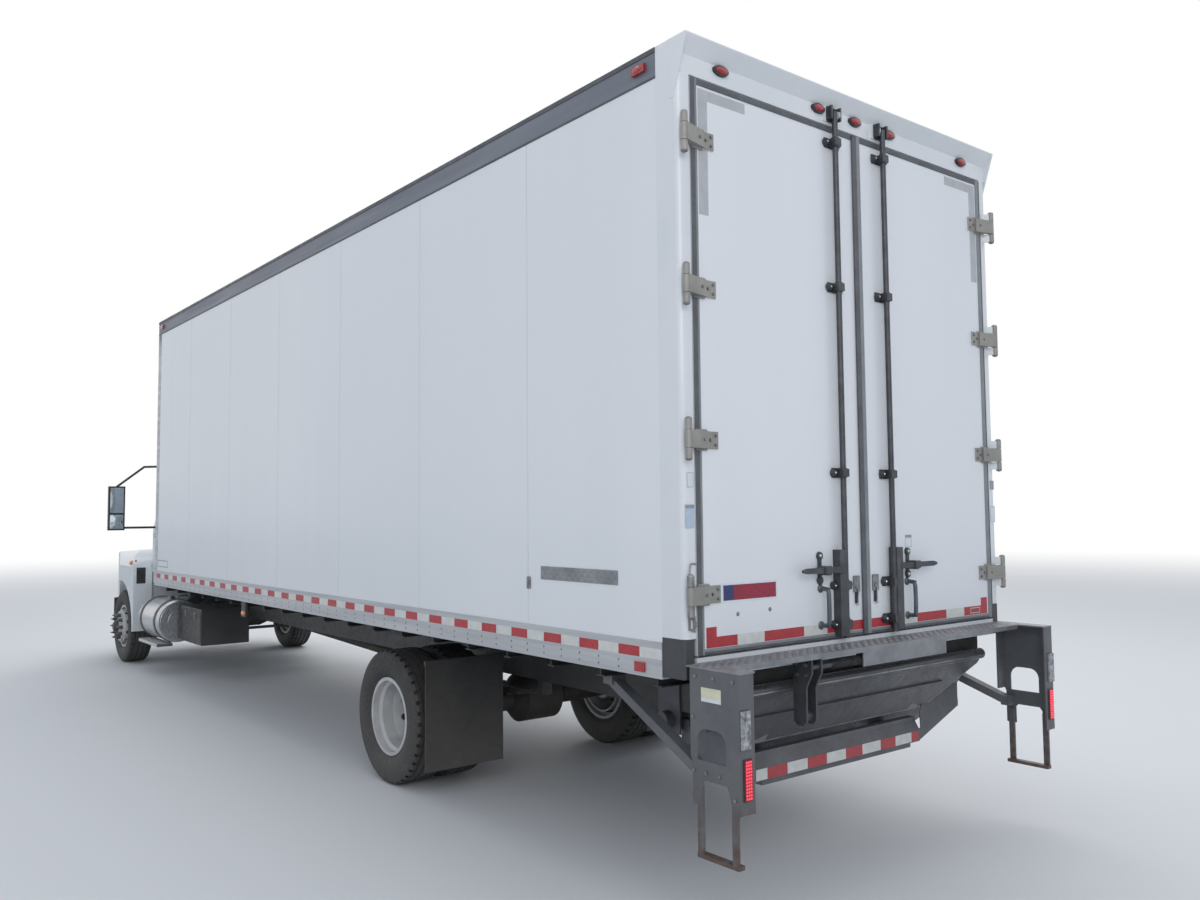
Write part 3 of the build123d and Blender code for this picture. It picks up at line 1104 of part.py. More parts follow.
# Front bumper with tow eyes
bumper_low_z = 440
bumper_high_z = 745
bumper_half_w = fender_half_w - 110
bumper_t = 28
tow_eye = (380, 65, 415)  # across, behind the bumper's face, height
with BuildPart() as front_bumper:
    with BuildSketch(Plane.XY.offset(bumper_low_z)):
        with BuildLine():
            Line((0, front_y), (bumper_half_w - 240, front_y))
            ThreePointArc((bumper_half_w - 240, front_y), (bumper_half_w - 80, front_y + 50),
                          (bumper_half_w, front_y + 200))
            Line((bumper_half_w, front_y + 200), (bumper_half_w - 25, front_y + 206))
            ThreePointArc((bumper_half_w - 25, front_y + 206), (bumper_half_w - 100, front_y + 72),
                          (bumper_half_w - 250, front_y + bumper_t))
            Polyline((bumper_half_w - 250, front_y + bumper_t), (0, front_y + bumper_t), (0, front_y))
        make_face()
    extrude(amount=bumper_high_z - bumper_low_z)
    block((frame_half_w - 60, frame_half_w), (front_y + bumper_t, frame_front_y - gap), (560, 720))
    with BuildSketch(Plane.YZ.offset(tow_eye[0] - 12.5)):
        Polygon((front_y + 20, 450), (front_y + 110, 450), (front_y + 110, 380), (front_y + 20, 380), align=None)
        with Locations((front_y + tow_eye[1], tow_eye[2])):
            Circle(22, mode=Mode.SUBTRACT)
    extrude(amount=25)
    block((tow_eye[0] - 12.5, tow_eye[0] + 12.5), (front_y + 10, front_y + 120), (bumper_low_z, 470))
    block((hinge_x - 14, hinge_x + 14), (hinge_y - 15, hinge_y + 12), (700, hinge_z + 13))
    with Locations(Location((hinge_x, hinge_y, hinge_z), (0, 90, 0))):
        Cylinder(hinge_r, 80)
    mirror(about=Plane.YZ)
save("front_bumper", front_bumper.part)

# Fuel tank with straps and steps on the left rail
tank_r = 240
tank_x = 950
tank_z = 620
tank_y = (cab_rear_y - 850, cab_rear_y - 30)
with BuildPart() as fuel_tank:
    with Locations(Location((tank_x, (tank_y[0] + tank_y[1]) / 2, tank_z), (90, 0, 0))):
        Cylinder(tank_r, tank_y[1] - tank_y[0])
    chamfer(fuel_tank.edges().filter_by(GeomType.CIRCLE), 18)
save("fuel_tank", fuel_tank.part)

with BuildPart() as tank_steps:
    for y in (tank_y[0] + 120, tank_y[1] - 120):
        with BuildSketch(Plane.XZ.offset(-(y + 25))):
            with Locations((tank_x, tank_z)):
                Circle(tank_r + 8)
                Circle(tank_r + gap, mode=Mode.SUBTRACT)
            Polygon((frame_half_w + gap, 470), (frame_half_w + gap, 900), (frame_half_w + 60, 900),
                    (tank_x - tank_r + 20, 760), (tank_x - 90, 395), (tank_x - 110, 380), align=None)
            with Locations((tank_x, tank_z)):
                Circle(tank_r + gap, mode=Mode.SUBTRACT)
        extrude(amount=50)
    block((tank_x + 60, tank_x + 230), (tank_y[0] + 20, tank_y[1] - 20), (340, 372))
    for y in (tank_y[0] + 120, tank_y[1] - 120):
        block((tank_x + 60, tank_x + 80), (y - 25, y + 25), (340, 384))
save("tank_steps", tank_steps.part)

# Battery box on the right rail, tool box behind the tank on the left rail
with BuildPart() as battery_box:
    block((-(frame_half_w + gap), -1020), (cab_rear_y - 700, cab_rear_y - 60), (480, 860))
    fillet(battery_box.edges().filter_by(Axis.Y), 30)
save("battery_box", battery_box.part)

tool_box_l = 760
with BuildPart() as tool_box:
    block((frame_half_w + gap, tank_x), (tank_y[1] + 60, tank_y[1] + 60 + tool_box_l),
          (tank_z - 206, tank_z + 186))
    fillet(tool_box.edges().filter_by(Axis.Y), 12)
save("tool_box", tool_box.part)

# Lamps: each row is x, y, z and the size along each axis
lamp_t = 16
bracket_lamp_t = step_reach - bracket_out_v - gap
lamp_rows = [(x, body_rear_y + gap + lamp_t / 2, roof_z - 98, 70, lamp_t, 30) for x in (-1020, -305, 0, 305, 1020)]
for side in (1, -1):
    lamp_rows += [
        (side * (body_half_w + 2 + gap + lamp_t / 2), body_rear_y - 260, roof_z - 75, lamp_t, 90, 40),
        (side * (body_half_w + 2 + gap + lamp_t / 2), body_front_y + 160, roof_z - 75, lamp_t, 90, 40),
        (side * (body_half_w + rail_proud + gap + 4), body_rear_y - post_d - 150, 1105, 8, 70, 45),
        (side * (body_half_w - 41), body_rear_y + step_reach - bracket_lamp_t / 2, 704, 43, bracket_lamp_t, 163),
        (side * (body_half_w - 30), body_rear_y + step_reach - bracket_lamp_t / 2, 909, 50, bracket_lamp_t, 154),
    ]
with BuildPart() as lamps:
    for x, y, z, dx, dy, dz in lamp_rows:
        with Locations((x, y, z)):
            Box(dx, dy, dz)
save("lamps", lamps.part)

print("overall", front_y, body_rear_y + step_reach)
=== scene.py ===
"""Refrigerated box truck, dressed for its portrait: finishes for every piece of the model, and the trim,
tread, tape, lenses and fixings that the plain solids leave out. Metres, the model's own frame."""
import bpy
import bmesh
import json
from math import atan2, cos, pi, radians, sin
from mathutils import Matrix, Vector


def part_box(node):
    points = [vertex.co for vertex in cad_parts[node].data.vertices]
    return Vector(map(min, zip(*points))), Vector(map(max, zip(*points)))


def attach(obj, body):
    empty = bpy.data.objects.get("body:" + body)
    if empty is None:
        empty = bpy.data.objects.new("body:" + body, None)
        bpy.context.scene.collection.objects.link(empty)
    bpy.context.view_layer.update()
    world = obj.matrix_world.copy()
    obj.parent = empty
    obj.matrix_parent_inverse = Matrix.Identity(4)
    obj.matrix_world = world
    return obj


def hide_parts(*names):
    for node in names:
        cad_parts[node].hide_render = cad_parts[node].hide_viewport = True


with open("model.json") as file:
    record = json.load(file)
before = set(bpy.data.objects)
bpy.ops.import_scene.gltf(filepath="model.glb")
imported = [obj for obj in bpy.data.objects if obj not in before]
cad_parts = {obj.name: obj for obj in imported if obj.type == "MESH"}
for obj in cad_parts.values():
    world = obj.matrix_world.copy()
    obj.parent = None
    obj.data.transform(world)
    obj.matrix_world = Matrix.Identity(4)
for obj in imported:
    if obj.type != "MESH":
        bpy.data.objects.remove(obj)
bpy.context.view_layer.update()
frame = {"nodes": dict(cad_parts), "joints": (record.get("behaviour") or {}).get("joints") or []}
nodes = frame["nodes"]

# Camera: at the left rear corner, at eye height, with the whole truck in view, as in the photograph.
# Its turn, tilt and roll are in radians.
eye = Vector((4.349, 8.805, 1.817))
yaw, pitch, roll = 0.673, 0.063, -0.009
ahead = Vector((-sin(yaw) * cos(pitch), -cos(yaw) * cos(pitch), sin(pitch)))
right = ahead.cross(Vector((0, 0, 1))).normalized()
up = right.cross(ahead)
right, up = cos(roll) * right + sin(roll) * up, -sin(roll) * right + cos(roll) * up
camera_data = bpy.data.cameras.new("rear_corner_view")
camera_data.sensor_width = 36
camera_data.lens = 29.883
camera_data.clip_end = 400
camera = bpy.data.objects.new("rear_corner_view", camera_data)
camera.matrix_world = Matrix.Translation(eye) @ Matrix((right, up, -ahead)).transposed().to_4x4()
bpy.context.scene.collection.objects.link(camera)
bpy.context.scene.camera = camera

# Sky: an even cool light on the truck, which shows as plain white to the camera, in reflections and
# through glass
scene = bpy.context.scene
scene.view_settings.view_transform = "Standard"
sky = bpy.data.worlds.new("studio_sky")
sky.use_nodes = True
scene.world = sky
sky_tree = sky.node_tree
sky_tree.nodes.clear()


def node(tree, kind, inputs, **settings):
    """Outputs of a new shader node, whose inputs are each given a value or fed from another node."""
    made = tree.nodes.new("ShaderNode" + kind)
    for setting, choice in settings.items():
        setattr(made, setting, choice)
    for socket, value in inputs.items():
        if isinstance(value, bpy.types.NodeSocket):
            tree.links.new(value, made.inputs[socket])
        else:
            made.inputs[socket].default_value = value
    return made.outputs


rays = node(sky_tree, "LightPath", {})
seen = node(sky_tree, "Math", {0: rays["Is Camera Ray"], 1: rays["Is Glossy Ray"]}, operation="ADD")[0]
seen_all = node(sky_tree, "Math", {0: seen, 1: rays["Is Transmission Ray"]}, operation="ADD",
                use_clamp=True)[0]
fill_light = node(sky_tree, "Background", {"Color": (0.80, 0.88, 1.0, 1), "Strength": 0.62})[0]
backdrop = node(sky_tree, "Background", {"Color": (1, 1, 1, 1), "Strength": 1.0})[0]
sky_mix = node(sky_tree, "MixShader", {0: seen_all, 1: fill_light, 2: backdrop})[0]
node(sky_tree, "OutputWorld", {"Surface": sky_mix})

# Soft boxes: three large lamps, above the truck, behind it and in front of it on the right, each aimed at
# a point of the truck
for name, place, aim, size, energy, glow in (
    ("overhead_box", (-3, 1, 13), (0, 0, 0), (12, 16), 780, (1.0, 0.98, 0.95)),
    ("rear_box", (9, 16, 7), (0.5, 3, 1.5), (9, 6), 560, (1.0, 0.98, 0.96)),
    ("front_right_box", (-10, -12, 9), (0, -2, 1), (8, 6), 480, (1.0, 0.96, 0.9)),
):
    box_light = bpy.data.lights.new(name, "AREA")
    box_light.shape = "RECTANGLE"
    box_light.size, box_light.size_y = size
    box_light.energy = energy
    box_light.color = glow
    lamp_stand = bpy.data.objects.new(name, box_light)
    lamp_stand.location = place
    lamp_stand.rotation_euler = (Vector(aim) - Vector(place)).to_track_quat("-Z", "Y").to_euler()
    scene.collection.objects.link(lamp_stand)

# Floor: a wide round sheet of pale grey card. To the camera it runs out to white far from the truck, so
# that it has no edge against the sky.
floor_mesh = bpy.data.meshes.new("studio_floor")
floor_sheet = bmesh.new()
bmesh.ops.create_circle(floor_sheet, cap_ends=True, segments=96, radius=150)
floor_sheet.to_mesh(floor_mesh)
floor_sheet.free()
studio_floor = bpy.data.objects.new("studio_floor", floor_mesh)
scene.collection.objects.link(studio_floor)
floor_paint = bpy.data.materials.new("pale_floor")
floor_paint.use_nodes = True
floor_tree = floor_paint.node_tree
floor_shader = floor_tree.nodes["Principled BSDF"]
floor_shader.inputs["Base Color"].default_value = (0.70, 0.71, 0.72, 1)
floor_shader.inputs["Roughness"].default_value = 0.75
floor_place = node(floor_tree, "TexCoord", {})["Object"]
distance = node(floor_tree, "VectorMath", {0: floor_place}, operation="LENGTH")["Value"]
fade = node(floor_tree, "MapRange", {"Value": distance, "From Min": 9, "From Max": 42},
            interpolation_type="SMOOTHSTEP")[0]
to_camera = node(floor_tree, "LightPath", {})["Is Camera Ray"]
faded = node(floor_tree, "Math", {0: fade, 1: to_camera}, operation="MULTIPLY")[0]
floor_white = node(floor_tree, "Emission", {"Strength": 1.0})[0]
floor_mix = node(floor_tree, "MixShader", {0: faded, 1: floor_shader.outputs[0], 2: floor_white})[0]
floor_tree.links.new(floor_mix, floor_tree.nodes["Material Output"].inputs["Surface"])
floor_mesh.materials.append(floor_paint)

# Insulated walls, front wall and roof: foam-cored panels with a white gel-coat skin. The skin is nearly flat,
# with faint long waves between the panel joints, painted into the colour as broad patches of light and
# blue-grey shade, and a film of road dirt that thins out upwards.


def finish(name, colour, rough, metal=0.0):
    """A material of one colour and gloss, on which patterns can be laid."""
    mat = bpy.data.materials.new(name)
    mat.use_nodes = True
    shader = mat.node_tree.nodes["Principled BSDF"]
    shader.inputs["Base Color"].default_value = (*colour, 1)
    shader.inputs["Roughness"].default_value = rough
    shader.inputs["Metallic"].default_value = metal
    node(mat.node_tree, "TexCoord", {}, name="place_on_piece")
    return mat


def workings(mat):
    """A material's node tree, its shader, and the place on the piece that its patterns are read from."""
    tree = mat.node_tree
    return tree, tree.nodes["Principled BSDF"], tree.nodes["place_on_piece"].outputs["Object"]


def grain(tree, place, scale, detail=4.0, stretch=(1, 1, 1)):
    """Irregular mottling, drawn out along the axes with a small stretch value."""
    spread = node(tree, "Mapping", {"Vector": place, "Scale": stretch})[0]
    return node(tree, "TexNoise", {"Vector": spread, "Scale": scale, "Detail": detail,
                                   "Roughness": 0.55})["Fac"]


def between(tree, value, start, stop, low=0.0, high=1.0):
    """Value carried from the range start to stop into low to high, and held at its ends."""
    return node(tree, "MapRange", {"Value": value, "From Min": start, "From Max": stop, "To Min": low,
                                   "To Max": high})[0]


def tint(tree, amount, first, second):
    """Colour between first and second, each a colour or a socket."""
    first, second = ((*end, 1) if isinstance(end, tuple) else end for end in (first, second))
    return node(tree, "Mix", {0: amount, 6: first, 7: second}, data_type="RGBA")[2]


def times(tree, first, second):
    """Product of two patterns, or of a pattern and a number."""
    return node(tree, "Math", {0: first, 1: second}, operation="MULTIPLY")[0]


def relief(tree, shader, height, depth, strength=1.0):
    """Fine relief on the surface, depth in metres, laid over the relief that is there."""
    laid = {"Height": height, "Distance": depth, "Strength": strength}
    if shader.inputs["Normal"].links:
        laid["Normal"] = shader.inputs["Normal"].links[0].from_socket
    tree.links.new(node(tree, "Bump", laid)[0], shader.inputs["Normal"])


def height_up(tree, place):
    """How high up the truck a place is."""
    return node(tree, "SeparateXYZ", {0: place})["Z"]


def road_dirt(tree, place, colour, top, amount):
    """Dirt thrown up from the road: thickest low down, gone by the height top, broken up by spray."""
    low_down = between(tree, height_up(tree, place), 0.1, top, amount, 0.0)
    spray = between(tree, grain(tree, place, 1.6, 3.0, (1, 0.6, 1.6)), 0.1, 0.9, 0.35, 1.0)
    return tint(tree, times(tree, low_down, spray), colour, (0.20, 0.19, 0.175))


def wear(name, colour, shade, rough, metal=0.0, scale=6.0, bump=0.0004, dirt_top=0.0, dirt=0.0, spread=0.12):
    """A worn surface: mottled from colour to shade, uneven gloss, fine relief and road dirt."""
    mat = finish(name, colour, rough, metal)
    tree, shader, place = workings(mat)
    base = tint(tree, between(tree, grain(tree, place, scale, 6.0), 0.32, 0.68), colour, shade)
    if dirt > 0:
        base = road_dirt(tree, place, base, dirt_top, dirt)
    tree.links.new(base, shader.inputs["Base Color"])
    gloss = between(tree, grain(tree, place, scale * 7, 3.0), 0.3, 0.7, max(0.02, rough - spread),
                    min(1.0, rough + spread))
    tree.links.new(gloss, shader.inputs["Roughness"])
    relief(tree, shader, grain(tree, place, scale * 30, 2.0), bump)
    return mat


def clear_coat(mat, weight, rough=0.03):
    """A clear layer over the colour."""
    shader = workings(mat)[1]
    shader.inputs["Coat Weight"].default_value = weight
    shader.inputs["Coat Roughness"].default_value = rough


def dress(mat, *names):
    """Gives model pieces their finish."""
    for name in names:
        mesh = nodes[name].data
        if not mesh.materials:
            mesh.materials.append(mat)
        for slot in nodes[name].material_slots:
            slot.material = mat


panel_white = finish("gelcoat_white", (0.80, 0.82, 0.84), 0.30)
tree, shader, place = workings(panel_white)
# painted shade: broad patches from near white to blue-grey stand for the light on the skin's long waves
wave_shading = between(tree, grain(tree, place, 0.35, 3.0, (1, 1, 0.4)), 0.0, 1.0)
skin = tint(tree, wave_shading, (0.825, 0.84, 0.86), (0.73, 0.765, 0.805))
streaks = times(tree, between(tree, grain(tree, place, 2.6, 2.0, (1, 1, 0.06)), 0.5, 0.9), 0.09)
skin = tint(tree, streaks, skin, (0.52, 0.54, 0.55))
tree.links.new(road_dirt(tree, place, skin, 1.7, 0.14), shader.inputs["Base Color"])
tree.links.new(between(tree, grain(tree, place, 1.2, 1.0), 0.0, 1.0, 0.29, 0.37), shader.inputs["Roughness"])
relief(tree, shader, grain(tree, place, 70.0, 2.0), 0.00012)
clear_coat(panel_white, 0.25, 0.12)
dress(panel_white, "side_walls", "front_wall", "box_roof", "cargo_door_left", "cargo_door_right")

# Joints between the wall panels: thin sealed lips in the panels' own white, bonded on at each panel's end.
# They show as faint upright lines. The doors' rear face lies 35 mm in front of their hinge pins.
pivots = {joint["name"]: joint.get("pos_m") for joint in frame["joints"]}
rear_y = pivots["cargo_door_left_hinge"][1] - 0.035
wall_low, wall_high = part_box("side_walls")
wall_face = wall_high.x
panel_length = 1.22


def bar(mesh, x, y, z, soften=0.0, segments=1):
    """A block between pairs of limits, with its edges broken by soften."""
    size = Vector((x[1] - x[0], y[1] - y[0], z[1] - z[0]))
    middle = Vector((x[0] + x[1], y[0] + y[1], z[0] + z[1])) / 2
    sized = Matrix.Diagonal((abs(size.x), abs(size.y), abs(size.z), 1))
    made = bmesh.ops.create_cube(mesh, size=1, matrix=Matrix.Translation(middle) @ sized)
    if soften:
        edges = {edge for vert in made["verts"] for edge in vert.link_edges}
        bmesh.ops.bevel(mesh, geom=list(edges), offset=soften, affect="EDGES", segments=segments, profile=0.5,
                        material=-1)


def place_piece(name, mesh, mat, body, turn_out=True):
    """Turns built geometry into a named piece that rides on a body, with its faces turned outwards."""
    if turn_out:
        bmesh.ops.recalc_face_normals(mesh, faces=mesh.faces[:])
    data = bpy.data.meshes.new(name)
    mesh.to_mesh(data)
    mesh.free()
    data.materials.append(mat)
    piece = bpy.data.objects.new(name, data)
    scene.collection.objects.link(piece)
    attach(piece, body)
    return piece


joint_white = wear("panel_joint", (0.70, 0.73, 0.77), (0.62, 0.65, 0.69), 0.4, scale=4.0, dirt_top=1.7,
                   dirt=0.3)
panel_joints = bmesh.new()
for side in (1, -1):
    for i in range(6):
        y = rear_y - panel_length * (i + 1)
        bar(panel_joints, (side * (wall_face - 0.0005), side * (wall_face + 0.0007)), (y - 0.004, y + 0.004),
            (wall_low.z + 0.0002, wall_high.z - 0.0002))
place_piece("panel_joints", panel_joints, joint_white, "truck")

# Aluminium rails: the lower extrusion carries the reflective tape and the rivets of the floor beams, the
# upper one is a wide band under a dark cap. Both are dull with weather and streaked along their length, and
# the upper band is painted dark blue-grey as shade.
rail_metal = finish("weathered_rail", (0.50, 0.52, 0.54), 0.5, 0.55)
tree, shader, place = workings(rail_metal)
along = grain(tree, place, 7.0, 5.0, (1, 0.12, 3.0))
metal_tone = tint(tree, between(tree, along, 0.3, 0.7), (0.56, 0.58, 0.60), (0.43, 0.45, 0.48))
# painted shade: above 3.86 m the upper band turns dark blue-grey
metal_tone = tint(tree, between(tree, height_up(tree, place), 3.6, 3.86), metal_tone, (0.17, 0.19, 0.23))
tree.links.new(road_dirt(tree, place, metal_tone, 1.3, 0.55), shader.inputs["Base Color"])
tree.links.new(between(tree, along, 0.3, 0.7, 0.38, 0.6), shader.inputs["Roughness"])
relief(tree, shader, grain(tree, place, 60.0, 3.0, (1, 0.2, 1)), 0.0004)
dress(rail_metal, "body_rails", "box_floor")

# Reflective tape: lengths of red and white film in turn, pressed onto the lower rails. The film is moulded
# with fine prisms. Two rows of domed steel rivets below it hold the rail to the floor beams.
rail_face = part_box("body_rails")[1].x
tape_count, tape_pitch, tape_gap = 54, 0.1535, 0.0004
rivet_radius = 0.0065


def cells(tree, place, scale):
    """Distance from the middle of each of many close-packed cells."""
    return node(tree, "TexVoronoi", {"Vector": place, "Scale": scale})["Distance"]


def prism_film(name, colour, shade):
    """Worn plastic film over small prisms."""
    mat = wear(name, colour, shade, 0.35, scale=25, dirt_top=1.6, dirt=0.35)
    tree, shader, place = workings(mat)
    relief(tree, shader, cells(tree, place, 220), 0.0006, 0.5)
    return mat


def dome(mesh, centre, radii, around=14, rows=8):
    """A rounded form with its own radius along each axis."""
    bmesh.ops.create_uvsphere(mesh, u_segments=around, v_segments=rows, radius=1,
                              matrix=Matrix.Translation(centre) @ Matrix.Diagonal((*radii, 1)))


tape_red = prism_film("tape_red", (0.50, 0.022, 0.034), (0.38, 0.02, 0.03))
tape_white = prism_film("tape_white", (0.74, 0.75, 0.73), (0.62, 0.63, 0.61))
rail_tape_red, rail_tape_white, rail_rivets = bmesh.new(), bmesh.new(), bmesh.new()
for side in (1, -1):
    for i in range(tape_count):
        tape_mesh = rail_tape_red if i % 2 else rail_tape_white
        rear = rear_y - 0.151 - tape_pitch * i
        front = rear - tape_pitch
        bar(tape_mesh, (side * (rail_face - 0.0002), side * (rail_face + 0.0006)),
            (front + tape_gap, rear - tape_gap), (1.150, 1.197))
        for z in (1.089, 1.122):
            dome(rail_rivets, (side * (rail_face - 0.0005), front, z),
                 (0.45 * rivet_radius, rivet_radius, rivet_radius), 8, 4)
place_piece("rail_tape_red", rail_tape_red, tape_red, "truck")
place_piece("rail_tape_white", rail_tape_white, tape_white, "truck")
rivet_steel = wear("rivet_steel", (0.24, 0.25, 0.27), (0.12, 0.12, 0.13), 0.45, 0.8, scale=40)
place_piece("rail_rivets", rail_rivets, rivet_steel, "truck")

# Dark caps and rail lips: an anodised strip clipped over the roof's edge with a dark line below it, and the
# two ledges that are extruded with the lower rail, above and below its tape
body_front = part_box("body_rails")[0].y
posts_front = rear_y - 0.150
roof_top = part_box("body_rails")[1].z
cap_dark = wear("roof_cap", (0.10, 0.11, 0.13), (0.06, 0.065, 0.08), 0.5, 0.3, scale=3.0)
roof_caps, rail_lips = bmesh.new(), bmesh.new()
for side in (1, -1):
    bar(roof_caps, (side * 1.2960, side * 1.3010), (body_front, posts_front), (roof_top - 0.026, roof_top),
        0.002)
    bar(roof_caps, (side * 1.2970, side * rail_face), (body_front, posts_front), (3.852, 3.861))
    bar(rail_lips, (side * 1.2990, side * 1.3015), (body_front, posts_front - 0.0005), (1.1405, 1.1465))
    bar(rail_lips, (side * 1.2990, side * 1.3010), (body_front, posts_front - 0.0005), (1.2225, 1.2278))
place_piece("roof_caps", roof_caps, cap_dark, "truck")
place_piece("rail_lips", rail_lips, rail_metal, "truck")

# Rear frame: welded steel posts, header and sill in glossy white paint, bolted to the rails and the floor,
# with black steel boxes at the lower corners
frame_white = wear("frame_white", (0.78, 0.80, 0.82), (0.71, 0.74, 0.77), 0.34, scale=1.4, bump=0.0001,
                   dirt_top=1.7, dirt=0.28, spread=0.04)
clear_coat(frame_white, 0.3)
dress(frame_white, "rear_frame")
corner_black = wear("corner_black", (0.028, 0.03, 0.036), (0.045, 0.048, 0.055), 0.42, scale=5.0,
                    dirt_top=1.6, dirt=0.25)
dress(corner_black, "corner_boxes")

# Rod keepers: black steel forks on base plates that hold the lock rods' upper ends, each plate fixed to the
# header with four hexagon bolts
rod_keepers = bmesh.new()


def cone(mesh, centre, turn, radii, tall, segments):
    """A round or many-sided head of two radii, made upright round centre and then turned."""
    bmesh.ops.create_cone(mesh, cap_ends=True, segments=segments, radius1=radii[0], radius2=radii[1],
                          depth=tall, matrix=Matrix.Translation(centre) @ turn)


def stud(mesh, foot, facing, radius, tall, segments=12, taper=0.85):
    """A round head standing on foot and pointing along facing."""
    facing = Vector(facing)
    cone(mesh, Vector(foot) + facing * tall / 2, facing.to_track_quat("Z", "Y").to_matrix().to_4x4(),
         (radius, radius * taper), tall, segments)


for side in (1, -1):
    for x in (0.167, 0.237):
        bar(rod_keepers, (side * (x - 0.0055), side * (x + 0.0055)), (rear_y + 0.0005, rear_y + 0.0475),
            (3.8535, 3.9265), 0.003)
    bar(rod_keepers, (side * 0.164, side * 0.240), (rear_y + 0.0005, rear_y + 0.0145), (3.849, 3.931), 0.004)
    for x, z in ((0.176, 3.861), (0.228, 3.861), (0.176, 3.919), (0.228, 3.919)):
        stud(rod_keepers, (side * x, rear_y + 0.014, z), (0, 1, 0), 0.006, 0.006, 6)
place_piece("rod_keepers", rod_keepers, corner_black, "truck")

# Post labels: thin printed plastic on the rear posts, kept bare. Two have a grey outline, the upper left
# one has a pale blue body under a grey head, and the right post has a grey one higher up.
left_label, right_label = ((1.232, 1.272), (1.928, 1.994)), ((-1.285, -1.235), (1.740, 1.836))
label_back, label_front = rear_y + 0.0002, rear_y + 0.0007


def draw_out(mesh, faces, depth):
    """Gives flat faces a thickness along depth."""
    drawn = bmesh.ops.extrude_face_region(mesh, geom=faces)["geom"]
    verts = [part for part in drawn if isinstance(part, bmesh.types.BMVert)]
    bmesh.ops.translate(mesh, verts=verts, vec=depth)


def surround(mesh, outer, inner, depth):
    """A flat band between two outlines of as many corners, drawn out along depth."""
    edges = []
    for outline in (outer, inner):
        corners = [mesh.verts.new(corner) for corner in outline]
        edges += [mesh.edges.new(pair) for pair in zip(corners, corners[1:] + corners[:1])]
    draw_out(mesh, bmesh.ops.bridge_loops(mesh, edges=edges)["faces"], depth)


def border(mesh, across, upward, width, on_face, depth):
    """A rectangular band of one width within limits, on the face where on_face puts a point."""
    outlines = []
    for inset in (0, width):
        near, far = across[0] + inset, across[1] - inset
        foot, top = upward[0] + inset, upward[1] - inset
        outlines.append([on_face(near, foot), on_face(far, foot), on_face(far, top), on_face(near, top)])
    surround(mesh, *outlines, depth)


def rear_label(mesh, x, z, line, y=label_front):
    """Outline of a label on a rear face, line wide."""
    border(mesh, x, z, line, lambda across, upward: (across, y, upward), (0, 0.0004, 0))


label_white = wear("label_white", (0.74, 0.78, 0.82), (0.66, 0.71, 0.77), 0.4, scale=18.0)
label_grey = wear("label_grey", (0.36, 0.40, 0.44), (0.26, 0.29, 0.33), 0.45, scale=22.0)
label_blue = wear("label_blue", (0.50, 0.60, 0.72), (0.42, 0.53, 0.66), 0.4, scale=30.0)
post_labels, post_label_lines, post_label_body = bmesh.new(), bmesh.new(), bmesh.new()
for (x, z), line in ((left_label, 0.0022), (right_label, 0.0025)):
    bar(post_labels, x, (label_back, label_front), z)
    rear_label(post_label_lines, x, z, line)
bar(post_label_lines, (1.229, 1.284), (label_back, rear_y + 0.0012), (1.834, 1.850))
bar(post_label_body, (1.229, 1.284), (label_back, rear_y + 0.0010), (1.744, 1.833))
bar(post_label_lines, (-1.284, -1.240), (label_back, rear_y + 0.0010), (1.936, 1.990))
place_piece("post_labels", post_labels, label_white, "truck")
place_piece("post_label_lines", post_label_lines, label_grey, "truck")
place_piece("post_label_body", post_label_body, label_blue, "truck")

# Door seals: black rubber extrusions with a grey lip, pushed into the edges of each leaf. The left leaf has
# the black one down the middle, the right leaf a grey one beside it.
leaf_foot, leaf_top = 1.176, 3.825
leaf_inner, leaf_outer = 0.034, 1.1790
seal_rubber = wear("door_seal", (0.115, 0.125, 0.14), (0.075, 0.08, 0.09), 0.55, scale=9.0, bump=0.0006)
seal_grey = wear("seal_grey", (0.27, 0.29, 0.31), (0.20, 0.215, 0.235), 0.55, scale=7.0, bump=0.0006)
for side, name in ((1, "left"), (-1, "right")):
    body = "cargo_door_" + name
    seals, seal_lips = bmesh.new(), bmesh.new()
    edge, lip = ((1.1930, 1.2190), (1.1790, 1.1925)) if side == 1 else ((1.2120, 1.2190), (1.1790, 1.2115))
    leaf = (side * leaf_inner, side * leaf_outer)
    bar(seals, (side * edge[0], side * edge[1]), (rear_y, rear_y + 0.007), (leaf_foot, leaf_top), 0.002)
    bar(seal_lips, (side * lip[0], side * lip[1]), (rear_y, rear_y + 0.005), (leaf_foot, leaf_top), 0.0015)
    bar(seals, leaf, (rear_y, rear_y + 0.005), (leaf_top - 0.028, leaf_top), 0.002)
    bar(seals, leaf, (rear_y, rear_y + 0.005), (leaf_foot, leaf_foot + 0.012), 0.002)
    bar(seal_lips, leaf, (rear_y, rear_y + 0.004), (leaf_foot + 0.012, leaf_foot + 0.026), 0.0015)
    middle_seal, stand_out = (seals, 0.016) if side == 1 else (seal_lips, 0.012)
    bar(middle_seal, (side * 0.0020, side * 0.0330), (rear_y, rear_y + stand_out),
        (leaf_foot, leaf_top + 0.001), 0.004)
    place_piece("door_seals_" + name, seals, seal_rubber, body)
    place_piece("seal_lips_" + name, seal_lips, seal_grey, body)

